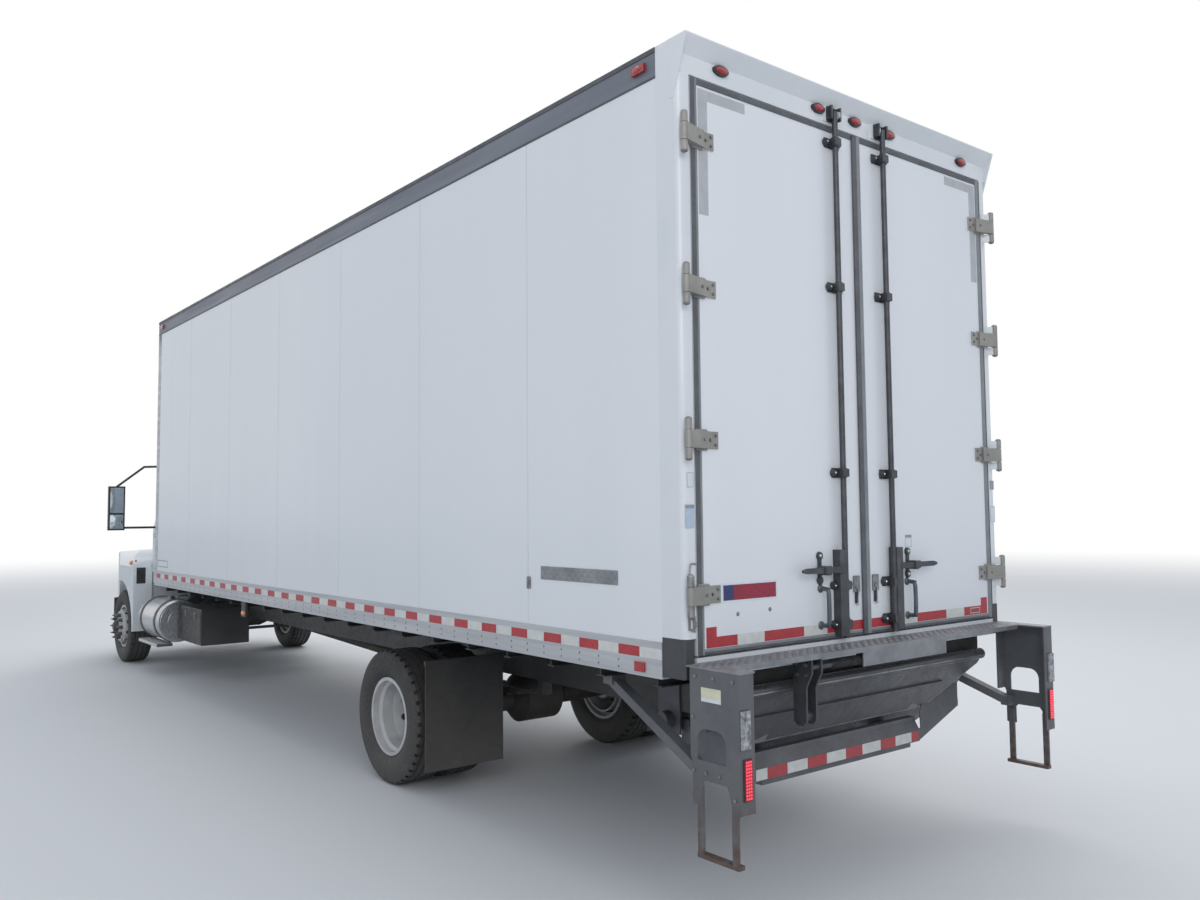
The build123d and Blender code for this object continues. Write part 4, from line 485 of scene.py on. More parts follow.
# Door tape and sticker: grey tape round the upper outer corner of each leaf, red and white reflective film
# along its foot, a bare outline on the right one, and a bare two-coloured sticker with a border on the left
film = 0.0012
tape_grey = wear("tape_grey", (0.50, 0.52, 0.53), (0.43, 0.45, 0.47), 0.5, scale=12.0)
sticker_navy = wear("sticker_navy", (0.025, 0.035, 0.12), (0.035, 0.045, 0.15), 0.35, scale=15.0)
sticker_red = wear("sticker_red", (0.33, 0.020, 0.045), (0.25, 0.018, 0.050), 0.35, scale=9.0)
for side, name, cuts in (
    (1, "left", (0.031, 0.319, 0.497, 0.782, 0.965, 1.165)),
    (-1, "right", (0.031, 0.280, 0.455, 0.737, 0.919, 1.165)),
):
    body = "cargo_door_" + name
    corner_tape, red_tape, pale_tape = bmesh.new(), bmesh.new(), bmesh.new()
    bar(corner_tape, (side * 1.109, side * 1.169), (rear_y, rear_y + film), (3.190, 3.785))
    bar(corner_tape, (side * 0.853, side * 1.1092), (rear_y, rear_y + film), (3.735, 3.785))
    for i, (inner, outer) in enumerate(zip(cuts[:-1], cuts[1:])):
        bar(pale_tape if i % 2 else red_tape, (side * inner, side * outer), (rear_y, rear_y + film),
            (1.204, 1.252))
    bar(red_tape, (side * 1.100, side * 1.165), (rear_y, rear_y + film), (1.2518, 1.297))
    place_piece("corner_tape_" + name, corner_tape, tape_grey, body)
    place_piece("door_tape_red_" + name, red_tape, tape_red, body)
    place_piece("door_tape_white_" + name, pale_tape, tape_white, body)
tape_label, sticker_border, sticker_field, sticker_corner = bmesh.new(), bmesh.new(), bmesh.new(), bmesh.new()
rear_label(tape_label, (-1.085, -0.985), (1.212, 1.244), 0.004, rear_y + 0.0013)
bar(sticker_border, (0.686, 1.063), (rear_y, rear_y + 0.0008), (1.400, 1.490))
bar(sticker_field, (0.696, 0.985), (rear_y, rear_y + film), (1.410, 1.480))
bar(sticker_corner, (0.985, 1.053), (rear_y, rear_y + film), (1.410, 1.480))
place_piece("tape_label", tape_label, tape_white, "cargo_door_right")
place_piece("sticker_border", sticker_border, label_white, "cargo_door_left")
place_piece("sticker_field", sticker_field, sticker_red, "cargo_door_left")
place_piece("sticker_corner", sticker_corner, sticker_navy, "cargo_door_left")

# Strap hinges: four forged straps a leaf, zinc plated, wrapped round the pin and bolted through the leaf.
# The barrels are welded to the posts and have dark rounded tips, and the lowest left pair is dark all over.
# The left leaf has two plugged holes below its sticker.
hinge_x, pin_y = pivots["cargo_door_left_hinge"][:2]
hinge_z = [1.445 + (3.540 - 1.445) / 3 * i for i in range(4)]
strap_half, barrel_radius = 0.0395, 0.0170
rearwards = Matrix.Rotation(-pi / 2, 4, "X")


def slab(mesh, outline, depth):
    """A plate with the given outline, drawn out along depth."""
    draw_out(mesh, [mesh.faces.new([mesh.verts.new(corner) for corner in outline])], depth)


strap_zinc = wear("strap_zinc", (0.34, 0.335, 0.31), (0.26, 0.255, 0.24), 0.5, 0.3, scale=8.0, bump=0.0005)
bolt_zinc = wear("bolt_zinc", (0.30, 0.30, 0.31), (0.18, 0.18, 0.19), 0.4, 0.85, scale=30.0)
strap_profile = ((1.150, 0.000), (1.150, 0.0215), (1.284, 0.0530), (1.292, 0.036), (1.218, 0.000))
hinge_barrels, hinge_tips = bmesh.new(), bmesh.new()
for side, name in ((1, "left"), (-1, "right")):
    body = "cargo_door_" + name
    straps, bolts = bmesh.new(), bmesh.new()
    for i, z in enumerate(hinge_z):
        slab(straps, [(side * x, rear_y + out, z - strap_half) for x, out in strap_profile],
             (0, 0, 2 * strap_half))
        bar(straps, (side * 1.1485, side * 1.2205), (rear_y + 0.0002, rear_y + 0.0118),
            (z - 0.0485, z + 0.0485), 0.002)
        stud(straps, (side * hinge_x, pin_y, z - strap_half), (0, 0, 1), 0.0172, 2 * strap_half, 20, 1.0)
        bar(straps, (side * 1.0785, side * 1.1510), (rear_y + 0.0062, rear_y + 0.0120),
            (z - 0.0400, z + 0.0400), 0.002)
        for x, out, rise in ((1.098, 0.015, 0.022), (1.098, 0.015, -0.022), (1.132, 0.015, 0),
                             (1.185, 0.031, 0)):
            cone(bolts, (side * x, rear_y + out, z + rise), rearwards, (0.0085, 0.0060), 0.010, 8)
        barrels = hinge_tips if side == 1 and i == 0 else hinge_barrels
        for direction in (-1, 1):
            cone(barrels, (side * hinge_x, pin_y, z + direction * 0.065), Matrix.Identity(4),
                 (barrel_radius, barrel_radius), 0.045, 20)
            dome(hinge_tips, (side * hinge_x, pin_y, z + direction * 0.0875), (0.0172, 0.0172, 0.012), 16, 8)
    for x, z in ((0.96, 1.345), (0.74, 1.352)) if side == 1 else ():
        dome(bolts, (x, rear_y, z), (0.011, 0.0055, 0.011), 10, 5)
    place_piece("hinge_straps_" + name, straps, strap_zinc, body)
    place_piece("door_bolts_" + name, bolts, bolt_zinc, body)
place_piece("hinge_barrels", hinge_barrels, strap_zinc, "truck")
place_piece("hinge_tips", hinge_tips, bolt_zinc, "truck")

# Post fittings: a cable hook of bent zinc wire above the lowest left hinge, and below it a small latch with
# an open frame, both screwed to the left post
post_fittings = bmesh.new()


def pipe(mesh, corners, radius, bend=0.0, segments=10):
    """A round bar drawn from a circle through corners, each rounded by bend, and closed at its ends."""
    corners = [Vector(corner) for corner in corners]
    points = [corners[0]]
    for before, corner, after in zip(corners[:-2], corners[1:-1], corners[2:]):
        start = corner + (before - corner).normalized() * bend
        stop = corner + (after - corner).normalized() * bend
        for share in (0.0, 0.25, 0.5, 0.75, 1.0) if bend else (0.0,):
            points.append(start.lerp(corner, share).lerp(corner.lerp(stop, share), share))
    points.append(corners[-1])
    across = (points[1] - points[0]).normalized().orthogonal()
    stations = []
    for before, point, after in zip(points[:1] + points[:-1], points, points[1:] + points[-1:]):
        run = (after - before).normalized()
        across = (across - run * across.dot(run)).normalized()
        turned = Matrix((across.cross(run), across, run)).transposed().to_4x4()
        stations.append(Matrix.Translation(point) @ turned)
    rim = bmesh.ops.create_circle(mesh, cap_ends=True, segments=segments, radius=radius, matrix=stations[0])
    edges = list({edge for vert in rim["verts"] for edge in vert.link_edges})
    for last, station in zip(stations[:-1], stations[1:]):
        drawn = bmesh.ops.extrude_edge_only(mesh, edges=edges)["geom"]
        edges = [part for part in drawn if isinstance(part, bmesh.types.BMEdge)]
        verts = [part for part in drawn if isinstance(part, bmesh.types.BMVert)]
        bmesh.ops.transform(mesh, matrix=station @ last.inverted(), verts=verts)
    bmesh.ops.edgeloop_fill(mesh, edges=edges)


hook_bends = ((1.225, 0.003, 1.585), (1.262, 0.007, 1.588), (1.272, 0.009, 1.540), (1.272, 0.003, 1.520))
pipe(post_fittings, [(x, rear_y + out, z) for x, out, z in hook_bends], 0.0035, 0.012, 8)
latch_outer = ((1.236, 1.282), (1.276, 1.294), (1.276, 1.346), (1.236, 1.354))
latch_inner = ((1.246, 1.296), (1.266, 1.302), (1.266, 1.338), (1.246, 1.342))
surround(post_fittings, [(x, rear_y + 0.0015, z) for x, z in latch_outer],
         [(x, rear_y + 0.0015, z) for x, z in latch_inner], (0, 0.006, 0))
bar(post_fittings, (1.228, 1.248), (rear_y + 0.0005, rear_y + 0.0075), (1.305, 1.330), 0.002)
place_piece("post_fittings", post_fittings, bolt_zinc, "truck")

# Lock gear: steel rods, guides and handles in dark grey paint, worn bright where hands and cams rub. The
# guides are bolted through each leaf with lugs, and zinc catches hold the handles down.
lock_paint = wear("lock_paint", (0.050, 0.054, 0.062), (0.085, 0.090, 0.10), 0.42, 0.4, scale=14.0,
                  bump=0.0005)
dress(lock_paint, "lock_gear_left", "lock_gear_right", "roller_bracket")
grab_paint = wear("grab_paint", (0.125, 0.145, 0.170), (0.085, 0.095, 0.11), 0.38, 0.5, scale=20.0,
                  bump=0.0004)
bright_steel = wear("bright_steel", (0.58, 0.59, 0.60), (0.42, 0.42, 0.42), 0.25, 0.9, scale=35.0,
                    bump=0.0002)
catch_zinc = wear("catch_zinc", (0.30, 0.32, 0.33), (0.15, 0.16, 0.17), 0.45, 0.6, scale=30.0)
tree, shader, place = workings(catch_zinc)
relief(tree, shader, cells(tree, place, 90), 0.0015, 0.8)
rod_x, grab_x = 0.205, 0.366
grab_top, grab_foot = 1.430, 1.247
for side, name in ((1, "left"), (-1, "right")):
    body = "cargo_door_" + name
    guide_lugs, lock_bolts, grab_handle, catches = bmesh.new(), bmesh.new(), bmesh.new(), bmesh.new()
    for z in (1.245, 1.440, 2.010, 2.970, 3.735):
        for x in (0.158, 0.252) if z > 1.9 else (0.150, 0.272):
            stud(guide_lugs, (side * x, rear_y + 0.004, z), (0, 1, 0), 0.021, 0.010, 18, 0.9)
            cone(guide_lugs, (side * x, rear_y + 0.019, z), rearwards, (0.0175, 0.0130), 0.012, 18)
            dome(lock_bolts, (side * x, rear_y + 0.0255, z), (0.0065, 0.0050, 0.0065), 10, 6)
        stud(guide_lugs, (side * rod_x, rear_y + 0.034, z - 0.024), (0, 0, 1), 0.0215, 0.048, 20, 1.0)
    for z, mesh in ((1.592, lock_bolts), (1.470, lock_bolts if side == -1 else guide_lugs)):
        stud(guide_lugs, (side * 0.372, rear_y + 0.001, z), (0, 1, 0), 0.0215, 0.011, 20, 0.9)
        dome(mesh, (side * 0.372, rear_y + 0.012, z), (0.0105, 0.0075, 0.0105), 12, 6)
    bar(guide_lugs, (side * 0.352, side * 0.404), (rear_y + 0.012, rear_y + 0.0725), (1.5030, 1.5440),
        0.006, 2)
    bends = ((0.003, grab_top), (0.053, 1.428), (0.055, 1.3385), (0.053, 1.249), (0.003, grab_foot))
    pipe(grab_handle, [(side * grab_x, rear_y + out, z) for out, z in bends], 0.0112, 0.020, 12)
    for z, rise in ((grab_top, 0.012), (grab_foot, -0.012)):
        dome(grab_handle, (side * grab_x, rear_y + 0.002, z), (0.0215, 0.0120, 0.0215), 16, 8)
        dome(lock_bolts, (side * grab_x, rear_y + 0.0135, z + rise), (0.0045, 0.0030, 0.0045), 8, 4)
    bar(catches, (side * 0.056, side * 0.104), (rear_y, rear_y + 0.0115), (1.397, 1.480), 0.002)
    bar(catches, (side * 0.066, side * 0.094), (rear_y + 0.011, rear_y + 0.0175), (1.412, 1.432), 0.003)
    bends = ((0.080, 0.018, 1.420), (0.080, 0.014, 1.380), (0.082, 0.012, 1.338))
    pipe(lock_bolts, [(side * x, rear_y + out, z) for x, out, z in bends], 0.0042, 0.0, 8)
    dome(lock_bolts, (side * 0.082, rear_y + 0.012, 1.335), (0.012, 0.005, 0.0055), 10, 6)
    place_piece("guide_lugs_" + name, guide_lugs, lock_paint, body)
    place_piece("lock_bolts_" + name, lock_bolts, bright_steel, body)
    place_piece("grab_handle_" + name, grab_handle, grab_paint, body)
    place_piece("door_catch_" + name, catches, catch_zinc, body)

# Label by the right lock gear: white plastic with a grey outline and a grey head, stuck to the leaf and
# kept bare
lock_label, lock_label_top = bmesh.new(), bmesh.new()
label_x, label_foot, label_top = (-0.420, -0.362), 1.615, 1.668
bar(lock_label, label_x, (rear_y, rear_y + 0.0006), (label_foot, label_top))
rear_label(lock_label_top, label_x, (label_foot, label_top), 0.002)
bar(lock_label_top, label_x, (rear_y, rear_y + 0.0012), (label_top, label_top + 0.014))
place_piece("lock_label", lock_label, label_white, "cargo_door_right")
place_piece("lock_label_top", lock_label_top, label_grey, "cargo_door_right")

# Dock step plate: chequered aluminium with raised lozenges rolled into it in alternating rows, and bolted
# to the body's sill
tread_metal = wear("tread_metal", (0.30, 0.31, 0.33), (0.20, 0.21, 0.23), 0.40, 0.6, scale=9.0, bump=0.0004)
dress(tread_metal, "step_plate")


def chequer(mesh, rows, columns, on_face, facing):
    """Raised lozenges in rows and columns, every second one turned the other way."""
    for row in range(rows):
        for i in range(columns):
            slant = Matrix.Rotation(radians(45 if (row + i) % 2 else -45), 4, "Z")
            cone(mesh, on_face(row, i), facing @ slant @ Matrix.Diagonal((2.6, 0.8, 1, 1)), (0.0048, 0.0030),
                 0.0018, 6)


upwards = Matrix.Identity(4)
step_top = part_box("step_plate")[1].z
tread_lozenges = bmesh.new()
chequer(tread_lozenges, 7, 98, lambda row, i: (-1.275 + 0.0263 * i, rear_y + 0.012 + 0.0225 * row,
                                               step_top + 0.0008), upwards)
place_piece("tread_lozenges", tread_lozenges, tread_metal, "truck")

# Wall strip and latch: a strip of the same chequer plate riveted flat to the left wall near the rear, and a
# small zinc latch screwed on below its front end
wall_strip, wall_latch = bmesh.new(), bmesh.new()
bar(wall_strip, (wall_face + 0.0002, wall_face + 0.0027), (rear_y - 1.10, rear_y - 0.46), (1.470, 1.540),
    0.0008)
chequer(wall_strip, 3, 24, lambda row, i: (wall_face + 0.0035, rear_y - 1.083 + 0.0262 * i,
                                           1.483 + 0.0225 * row), Matrix.Rotation(pi / 2, 4, "Y"))
place_piece("wall_strip", wall_strip, tread_metal, "truck")
bar(wall_latch, (wall_face + 0.0002, wall_face + 0.0080), (rear_y - 1.226, rear_y - 1.194), (1.415, 1.480),
    0.003, 2)
bar(wall_latch, (wall_face + 0.0075, wall_face + 0.0125), (rear_y - 1.218, rear_y - 1.202), (1.430, 1.462),
    0.002)
place_piece("wall_latch", wall_latch, bolt_zinc, "truck")

# Lift steelwork: brackets, arms, platform and under-ride bar, welded from plate and painted grey. The paint
# is worn, with rust low on the brackets and long scores across the platform. The rods are chromed.
lift_paint = wear("lift_paint", (0.115, 0.122, 0.138), (0.075, 0.080, 0.092), 0.48, 0.2, scale=3.5,
                  bump=0.0006, dirt_top=1.2, dirt=0.35)
dress(lift_paint, "lift_frame", "lift_arms", "under_ride_bar", "tank_steps")
bracket_paint = wear("bracket_paint", (0.135, 0.142, 0.152), (0.095, 0.101, 0.112), 0.46, 0.2, scale=4.5,
                     bump=0.0006, dirt_top=1.2, dirt=0.35)
tree, shader, place = workings(bracket_paint)
low_down = between(tree, height_up(tree, place), 0.66, 0.42)
scaling = between(tree, grain(tree, place, 22.0, 5.0), 0.38, 0.56)
painted = shader.inputs["Base Color"].links[0].from_socket
rusty = tint(tree, times(tree, times(tree, low_down, scaling), 0.8), painted, (0.115, 0.055, 0.032))
tree.links.new(rusty, shader.inputs["Base Color"])
dress(bracket_paint, "side_brackets")
plate_paint = wear("platform_plate", (0.105, 0.108, 0.118), (0.060, 0.062, 0.070), 0.36, 0.45, scale=2.2,
                   bump=0.0008, dirt_top=1.1, dirt=0.25)
tree, shader, place = workings(plate_paint)
relief(tree, shader, between(tree, grain(tree, place, 30.0, 4.0, (0.05, 1, 1)), 0.45, 0.75), 0.0008, 0.6)
dress(plate_paint, "lift_platform")
cylinder_black = wear("cylinder_black", (0.03, 0.03, 0.032), (0.06, 0.058, 0.055), 0.45, scale=9.0,
                      dirt_top=0.9, dirt=0.4)
dress(cylinder_black, "lift_barrels")
rod_chrome = wear("rod_chrome", (0.62, 0.63, 0.65), (0.50, 0.51, 0.53), 0.14, 1.0, scale=20.0, bump=0.0001,
                  spread=0.06)
dress(rod_chrome, "lift_rods")

# Folded platform: pale steel strips painted as highlights along the folded plates' edges and the fold tube's
# crown and rear side, painted glints on the tapered corners, pale steel discs on the fold tube's end caps,
# and the steel webs welded between the corners and the bar's wings
lean = radians(33)


def on_pack(x, down, out):
    """Point on the folded platform's outer face: across, down its slope from the top, out from the face."""
    return Vector((x, rear_y - sin(lean) * down + cos(lean) * out,
                   0.960 - cos(lean) * down - sin(lean) * out))


def out_of_pack(out):
    """Way straight out from the folded platform's outer face."""
    return on_pack(0, 0, out) - on_pack(0, 0, 0)


worn_edge = wear("worn_edge", (0.36, 0.365, 0.38), (0.17, 0.17, 0.18), 0.34, 0.7, scale=9.0, bump=0.0004)
platform_edges, wing_webs = bmesh.new(), bmesh.new()
edge_width = 0.009
tips = ((-1.086, 0.052), (-0.757, 0.333), (0.757, 0.333), (1.086, 0.052))
web_outline = ((0.705, 0.566), (1.088, 0.688), (1.088, 0.900), (0.860, 0.900), (0.698, 0.660))
# painted highlights: pale strips along the folded plates' edges
for (x1, down1), (x2, down2) in zip(tips[:-1], tips[1:]):
    slab(platform_edges, [on_pack(x1, down1, 0.0), on_pack(x2, down2, 0.0),
                          on_pack(x2, down2 - edge_width, 0.0), on_pack(x1, down1 - edge_width, 0.0)],
         out_of_pack(0.0014))
# painted highlights: a pale line along the fold tube's crown and another on its rear side
bar(platform_edges, (-1.094, 1.094), (rear_y - 0.020, rear_y - 0.004), (1.0005, 1.0030), 0.001)
bar(platform_edges, (-1.094, 1.094), (rear_y + 0.0165, rear_y + 0.0190), (0.962, 0.970), 0.001)
# painted glints: a small pale triangle on each tapered corner
for side in (1, -1):
    slab(platform_edges, [on_pack(side * x, down, 0.0) for x, down in ((0.60, 0.326), (0.742, 0.326),
                                                                      (0.60, 0.285))], out_of_pack(0.0012))
    stud(platform_edges, (side * 1.0975, rear_y - 0.012, 0.972), (side, 0, 0), 0.024, 0.006, 20, 0.8)
    slab(wing_webs, [(side * x, rear_y - 0.1655, z) for x, z in web_outline], (0, -0.005, 0))
place_piece("platform_edges", platform_edges, worn_edge, "lift_platform")
place_piece("wing_webs", wing_webs, lift_paint, "lift_platform")

# Sill sheet: a strip of black rubber, cut from sheet, that hangs behind the step plate as a painted shadow,
# closing the gap under the floor where there is only shade. It is bolted to the sill along its top edge.
flap_black = wear("flap_rubber", (0.018, 0.018, 0.019), (0.035, 0.034, 0.033), 0.7, scale=4.0, dirt_top=0.9,
                  dirt=0.4)
sill_skirt = bmesh.new()
# painted shadow: a dark sheet filling the gap between the sill and the fold tube
bar(sill_skirt, (-1.14, 1.14), (rear_y - 0.060, rear_y - 0.054), (0.985, 1.078), 0.001)
for i in range(12):
    stud(sill_skirt, (-1.10 + 0.2 * i, rear_y - 0.054, 1.062), (0, 1, 0), 0.010, 0.005, 8)
place_piece("sill_skirt", sill_skirt, flap_black, "truck")

# Lift bolts and bracket label: zinc hexagon bolts that hold the side brackets and the roller's hanger, and
# the bare yellow label, with a white band at its foot, on the left bracket
lift_bolts, bracket_label, bracket_label_band = bmesh.new(), bmesh.new(), bmesh.new()
for side in (1, -1):
    for back, z in ((0.060, 1.105), (0.170, 1.105), (0.285, 1.105), (0.045, 0.930), (0.045, 0.700),
                    (0.290, 0.620), (0.120, 0.700), (0.200, 0.700)):
        stud(lift_bolts, (side * wall_face, rear_y + back, z), (side, 0, 0), 0.0095, 0.006, 6)
for z in (1.090, 1.040):
    for back in (0.060, 0.110):
        for x, facing in ((0.622, 1), (0.540, -1)):
            stud(lift_bolts, (x, rear_y + back, z), (facing, 0, 0), 0.011, 0.008, 6)
place_piece("lift_bolts", lift_bolts, bolt_zinc, "truck")
label_yellow = wear("label_yellow", (0.72, 0.71, 0.52), (0.60, 0.59, 0.44), 0.45, scale=20.0)
bar(bracket_label, (wall_face - 0.0002, wall_face + 0.0008), (rear_y + 0.095, rear_y + 0.214), (1.002, 1.062))
place_piece("bracket_label", bracket_label, label_yellow, "truck")
bar(bracket_label_band, (wall_face - 0.0002, wall_face + 0.0012), (rear_y + 0.097, rear_y + 0.212),
    (1.003, 1.018))
place_piece("bracket_label_band", bracket_label_band, label_white, "truck")

# Torsion spring: a close coil of bright steel wire, wound round its bar beside the roller's hanger, which
# helps the platform up
coil_start = Vector((0.232, rear_y + 0.125, 1.077))
coil_radius, wire_radius, wire_pitch = 0.0185, 0.0035, 0.0093
turns, steps = 24, 14
spring_coil = bmesh.new()
bmesh.ops.create_circle(spring_coil, cap_ends=False, segments=8, radius=wire_radius,
                        matrix=Matrix.Translation(coil_start + Vector((0, 0, coil_radius)))
                        @ Matrix.Rotation(pi / 2, 4, "Y"))
bmesh.ops.spin(spring_coil, geom=spring_coil.verts[:] + spring_coil.edges[:], angle=2 * pi * turns,
               steps=turns * steps, axis=(1, 0, 0), cent=coil_start, dvec=(wire_pitch / steps, 0, 0),
               use_merge=False)
spring_wire = wear("spring_wire", (0.34, 0.35, 0.37), (0.20, 0.19, 0.18), 0.35, 0.85, scale=30.0)
place_piece("torsion_spring", spring_coil, spring_wire, "truck")

# Under-ride tape: the same red and white reflective film, pressed along the rear face of the bar under the
# platform in hand-cut lengths
bar_tape_red, bar_tape_white = bmesh.new(), bmesh.new()
bar_cuts = (0.680, 0.598, 0.449, 0.294, 0.141, -0.017, -0.159, -0.321, -0.458, -0.609, -0.680)
for i, (outer, inner) in enumerate(zip(bar_cuts[:-1], bar_cuts[1:])):
    bar(bar_tape_red if i % 2 else bar_tape_white, (inner + tape_gap, outer - tape_gap),
        (rear_y - 0.1652, rear_y - 0.1640), (0.502, 0.556))
place_piece("bar_tape_red", bar_tape_red, tape_red, "lift_platform")
place_piece("bar_tape_white", bar_tape_white, tape_white, "lift_platform")

# Lamps: moulded red lenses with fine facets, clipped into black bezels on the header and the upper rails.
# Each bracket has two upright lamps of many small diodes in a black bezel, the lower lit red, the upper
# clear.
lens_red = finish("lens_red", (0.42, 0.010, 0.018), 0.12)
tree, shader, place = workings(lens_red)
facets = cells(tree, place, 140)
facet_red = tint(tree, between(tree, facets, 0.1, 0.6), (0.55, 0.02, 0.03), (0.30, 0.008, 0.015))
tree.links.new(facet_red, shader.inputs["Base Color"])
relief(tree, shader, facets, 0.001, 0.5)
clear_coat(lens_red, 0.6)
dress(lens_red, "lamps")
lamp_lit = finish("lamp_lit", (0.9, 0.05, 0.08), 0.2)
tree, shader, place = workings(lamp_lit)
shader.inputs["Emission Color"].default_value = (1.0, 0.03, 0.09, 1)
shader.inputs["Emission Strength"].default_value = 1.1
relief(tree, shader, grain(tree, place, 90.0), 0.0005)
lamp_clear = wear("lamp_clear", (0.50, 0.51, 0.53), (0.10, 0.105, 0.115), 0.15, 0.1, scale=38.0)
bezel_black = wear("bracket_bezel", (0.02, 0.02, 0.023), (0.035, 0.035, 0.04), 0.4, scale=12.0)
bracket_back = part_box("side_brackets")[1].y
header_z, side_lamp_z = 3.902, 3.925
diode_rows, diode_columns, diode_radius = 12, 3, 0.0050
lit_dots, clear_dots, bezels, header_lenses = bmesh.new(), bmesh.new(), bmesh.new(), bmesh.new()
for x in (-1.020, -0.305, 0.0, 0.305, 1.020):
    cone(bezels, (x, rear_y + 0.0085, header_z), Matrix.Diagonal((0.050, 1, 0.0255, 1)) @ rearwards,
         (1, 0.93), 0.0168, 28)
    dome(header_lenses, (x, rear_y + 0.0165, header_z), (0.040, 0.011, 0.0180), 20, 10)
for side in (1, -1):
    for y in (5.305, -2.805):
        dome(header_lenses, (side * 1.3128, y, side_lamp_z), (0.0060, 0.038, 0.0155), 16, 8)
    bar(clear_dots, (side * 1.2385, side * 1.2925), (bracket_back + 0.0010, bracket_back + 0.0112),
        (0.8290, 0.9890), 0.001)
    for mesh, x, z, height in ((lit_dots, 1.2545, 0.704, 0.163), (clear_dots, 1.2655, 0.909, 0.154)):
        foot, top = z - height / 2, z + height / 2
        bar(bezels, (side * (x - 0.0255), side * (x + 0.0255)),
            (bracket_back + 0.0003, bracket_back + 0.0055), (foot - 0.006, top + 0.006), 0.002)
        for row in range(diode_rows):
            for column in range(diode_columns):
                dome(mesh, (side * (x + 0.0125 * (column - 1)), bracket_back + 0.0102,
                            foot + height * (row + 0.5) / diode_rows),
                     (diode_radius, diode_radius / 2, diode_radius), 8, 4)
place_piece("bracket_lamps_lit", lit_dots, lamp_lit, "truck")
place_piece("bracket_lamps_clear", clear_dots, lamp_clear, "truck")
place_piece("header_lenses", header_lenses, lens_red, "truck")
place_piece("bracket_lamp_bezels", bezels, bezel_black, "truck")

# Running gear: ladder frame, subframe, springs, axles and driveline, riveted and bolted together. The
# pressed steel is satin black and dusty, the cast iron parts are rougher and browner.
chassis_paint = wear("chassis_paint", (0.022, 0.023, 0.026), (0.045, 0.045, 0.046), 0.5, scale=3.0,
                     dirt_top=1.1, dirt=0.4)
dress(chassis_paint, "chassis_frame", "subframe", "springs", "tie_rod", "battery_box", "tool_box")
cast_iron = wear("cast_iron", (0.040, 0.036, 0.034), (0.070, 0.058, 0.050), 0.65, 0.3, scale=12.0,
                 bump=0.0012, dirt_top=0.9, dirt=0.45)
dress(cast_iron, "front_axle", "rear_axle", "knuckle_left", "knuckle_right", "engine", "driveline")
dress(flap_black, "mud_flaps")

# Wheels: pressed steel discs with hand holes in white enamel, chalky with road film, held to the hubs by
# ten nuts each
wheel_enamel = wear("wheel_enamel", (0.66, 0.67, 0.68), (0.50, 0.50, 0.50), 0.42, scale=9.0, bump=0.0006,
                    dirt_top=1.2, dirt=0.45)
dress(wheel_enamel, "front_wheel_left", "front_wheel_right", "rear_wheels_left", "rear_wheels_right")

# Tyres: moulded rubber with four grooves round the tread, notched shoulders and ribbed bead bands. One is
# pressed onto each front wheel, and a pair onto each rear one.
tyre_rubber = wear("tyre_rubber", (0.020, 0.020, 0.022), (0.034, 0.033, 0.033), 0.72, scale=7.0, bump=0.0008,
                   dirt_top=0.9, dirt=0.35)
tyre_steps = 120
notch_depth, notch_every = 0.007, 3
shoulder_inner, shoulder_outer, shoulder_offset = 0.4330, 0.4465, 0.088
twin_half_gap = 0.160


def tyre_section():
    """Half of the tyre's outline, from bead to middle of the tread, as offset from the middle and radius."""
    side_wall = [(0.1040, 0.2479), (0.1047, 0.2620), (0.1120, 0.2680), (0.1130, 0.2740), (0.1240, 0.2860),
                 (0.1340, 0.3050), (0.1385, 0.3250), (0.1405, 0.3480), (0.1395, 0.3750), (0.1375, 0.3790),
                 (0.1385, 0.3830), (0.1350, 0.4050), (0.1290, 0.4220), (0.1230, 0.4330), (0.1180, 0.4400),
                 (0.1100, 0.4450)]
    tread = []
    for groove in (0.078, 0.030):
        tread += [(groove + 0.0065, 0.4470), (groove + 0.0045, 0.4360), (groove - 0.0045, 0.4360),
                  (groove - 0.0065, 0.4472)]
    return side_wall + tread + [(0.0, 0.4474)]


def build_tyre(mesh, centre):
    """Spins the section round the axle and cuts notches into both shoulders. The faces are turned outwards
    before that, because the notches' walls would mislead a later turn."""
    half = tyre_section()
    outline = [(-offset, radius) for offset, radius in half[:-1]] + list(reversed(half))
    made = [mesh.verts.new(centre + Vector((offset, 0, radius))) for offset, radius in outline]
    links = [mesh.edges.new(pair) for pair in zip(made, made[1:] + made[:1])]
    before = set(mesh.faces)
    bmesh.ops.spin(mesh, geom=made + links, angle=2 * pi, steps=tyre_steps, axis=(1, 0, 0), cent=centre,
                   use_merge=True)
    spun = [face for face in mesh.faces if face not in before]
    bmesh.ops.recalc_face_normals(mesh, faces=spun)
    notches = []
    for face in spun:
        middle = face.calc_center_median() - centre
        reach = Vector((0, middle.y, middle.z)).length
        step = int(round(atan2(middle.z, middle.y) / (2 * pi) * tyre_steps - 0.5)) % tyre_steps
        on_shoulder = shoulder_inner < reach < shoulder_outer and abs(middle.x) > shoulder_offset
        if on_shoulder and step % notch_every == 0:
            notches.append(face)
    cut = bmesh.ops.extrude_discrete_faces(mesh, faces=notches)
    for face in cut["faces"]:
        inward = centre - face.calc_center_median()
        inward.x = 0
        bmesh.ops.translate(mesh, verts=face.verts, vec=inward.normalized() * notch_depth)


for name in ("left", "right"):
    front_tyre, rear_pair = bmesh.new(), bmesh.new()
    build_tyre(front_tyre, Vector(pivots["front_wheel_" + name + "_spin"]))
    piece = place_piece("front_tread_" + name, front_tyre, tyre_rubber, "front_wheel_" + name,
                        turn_out=False)
    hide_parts("front_tyre_" + name)
    for shift in (twin_half_gap, -twin_half_gap):
        build_tyre(rear_pair, Vector(pivots["rear_wheels_" + name + "_spin"]) + Vector((shift, 0, 0)))
    piece = place_piece("rear_treads_" + name, rear_pair, tyre_rubber, "rear_wheels_" + name,
                        turn_out=False)
    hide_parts("rear_tyres_" + name)

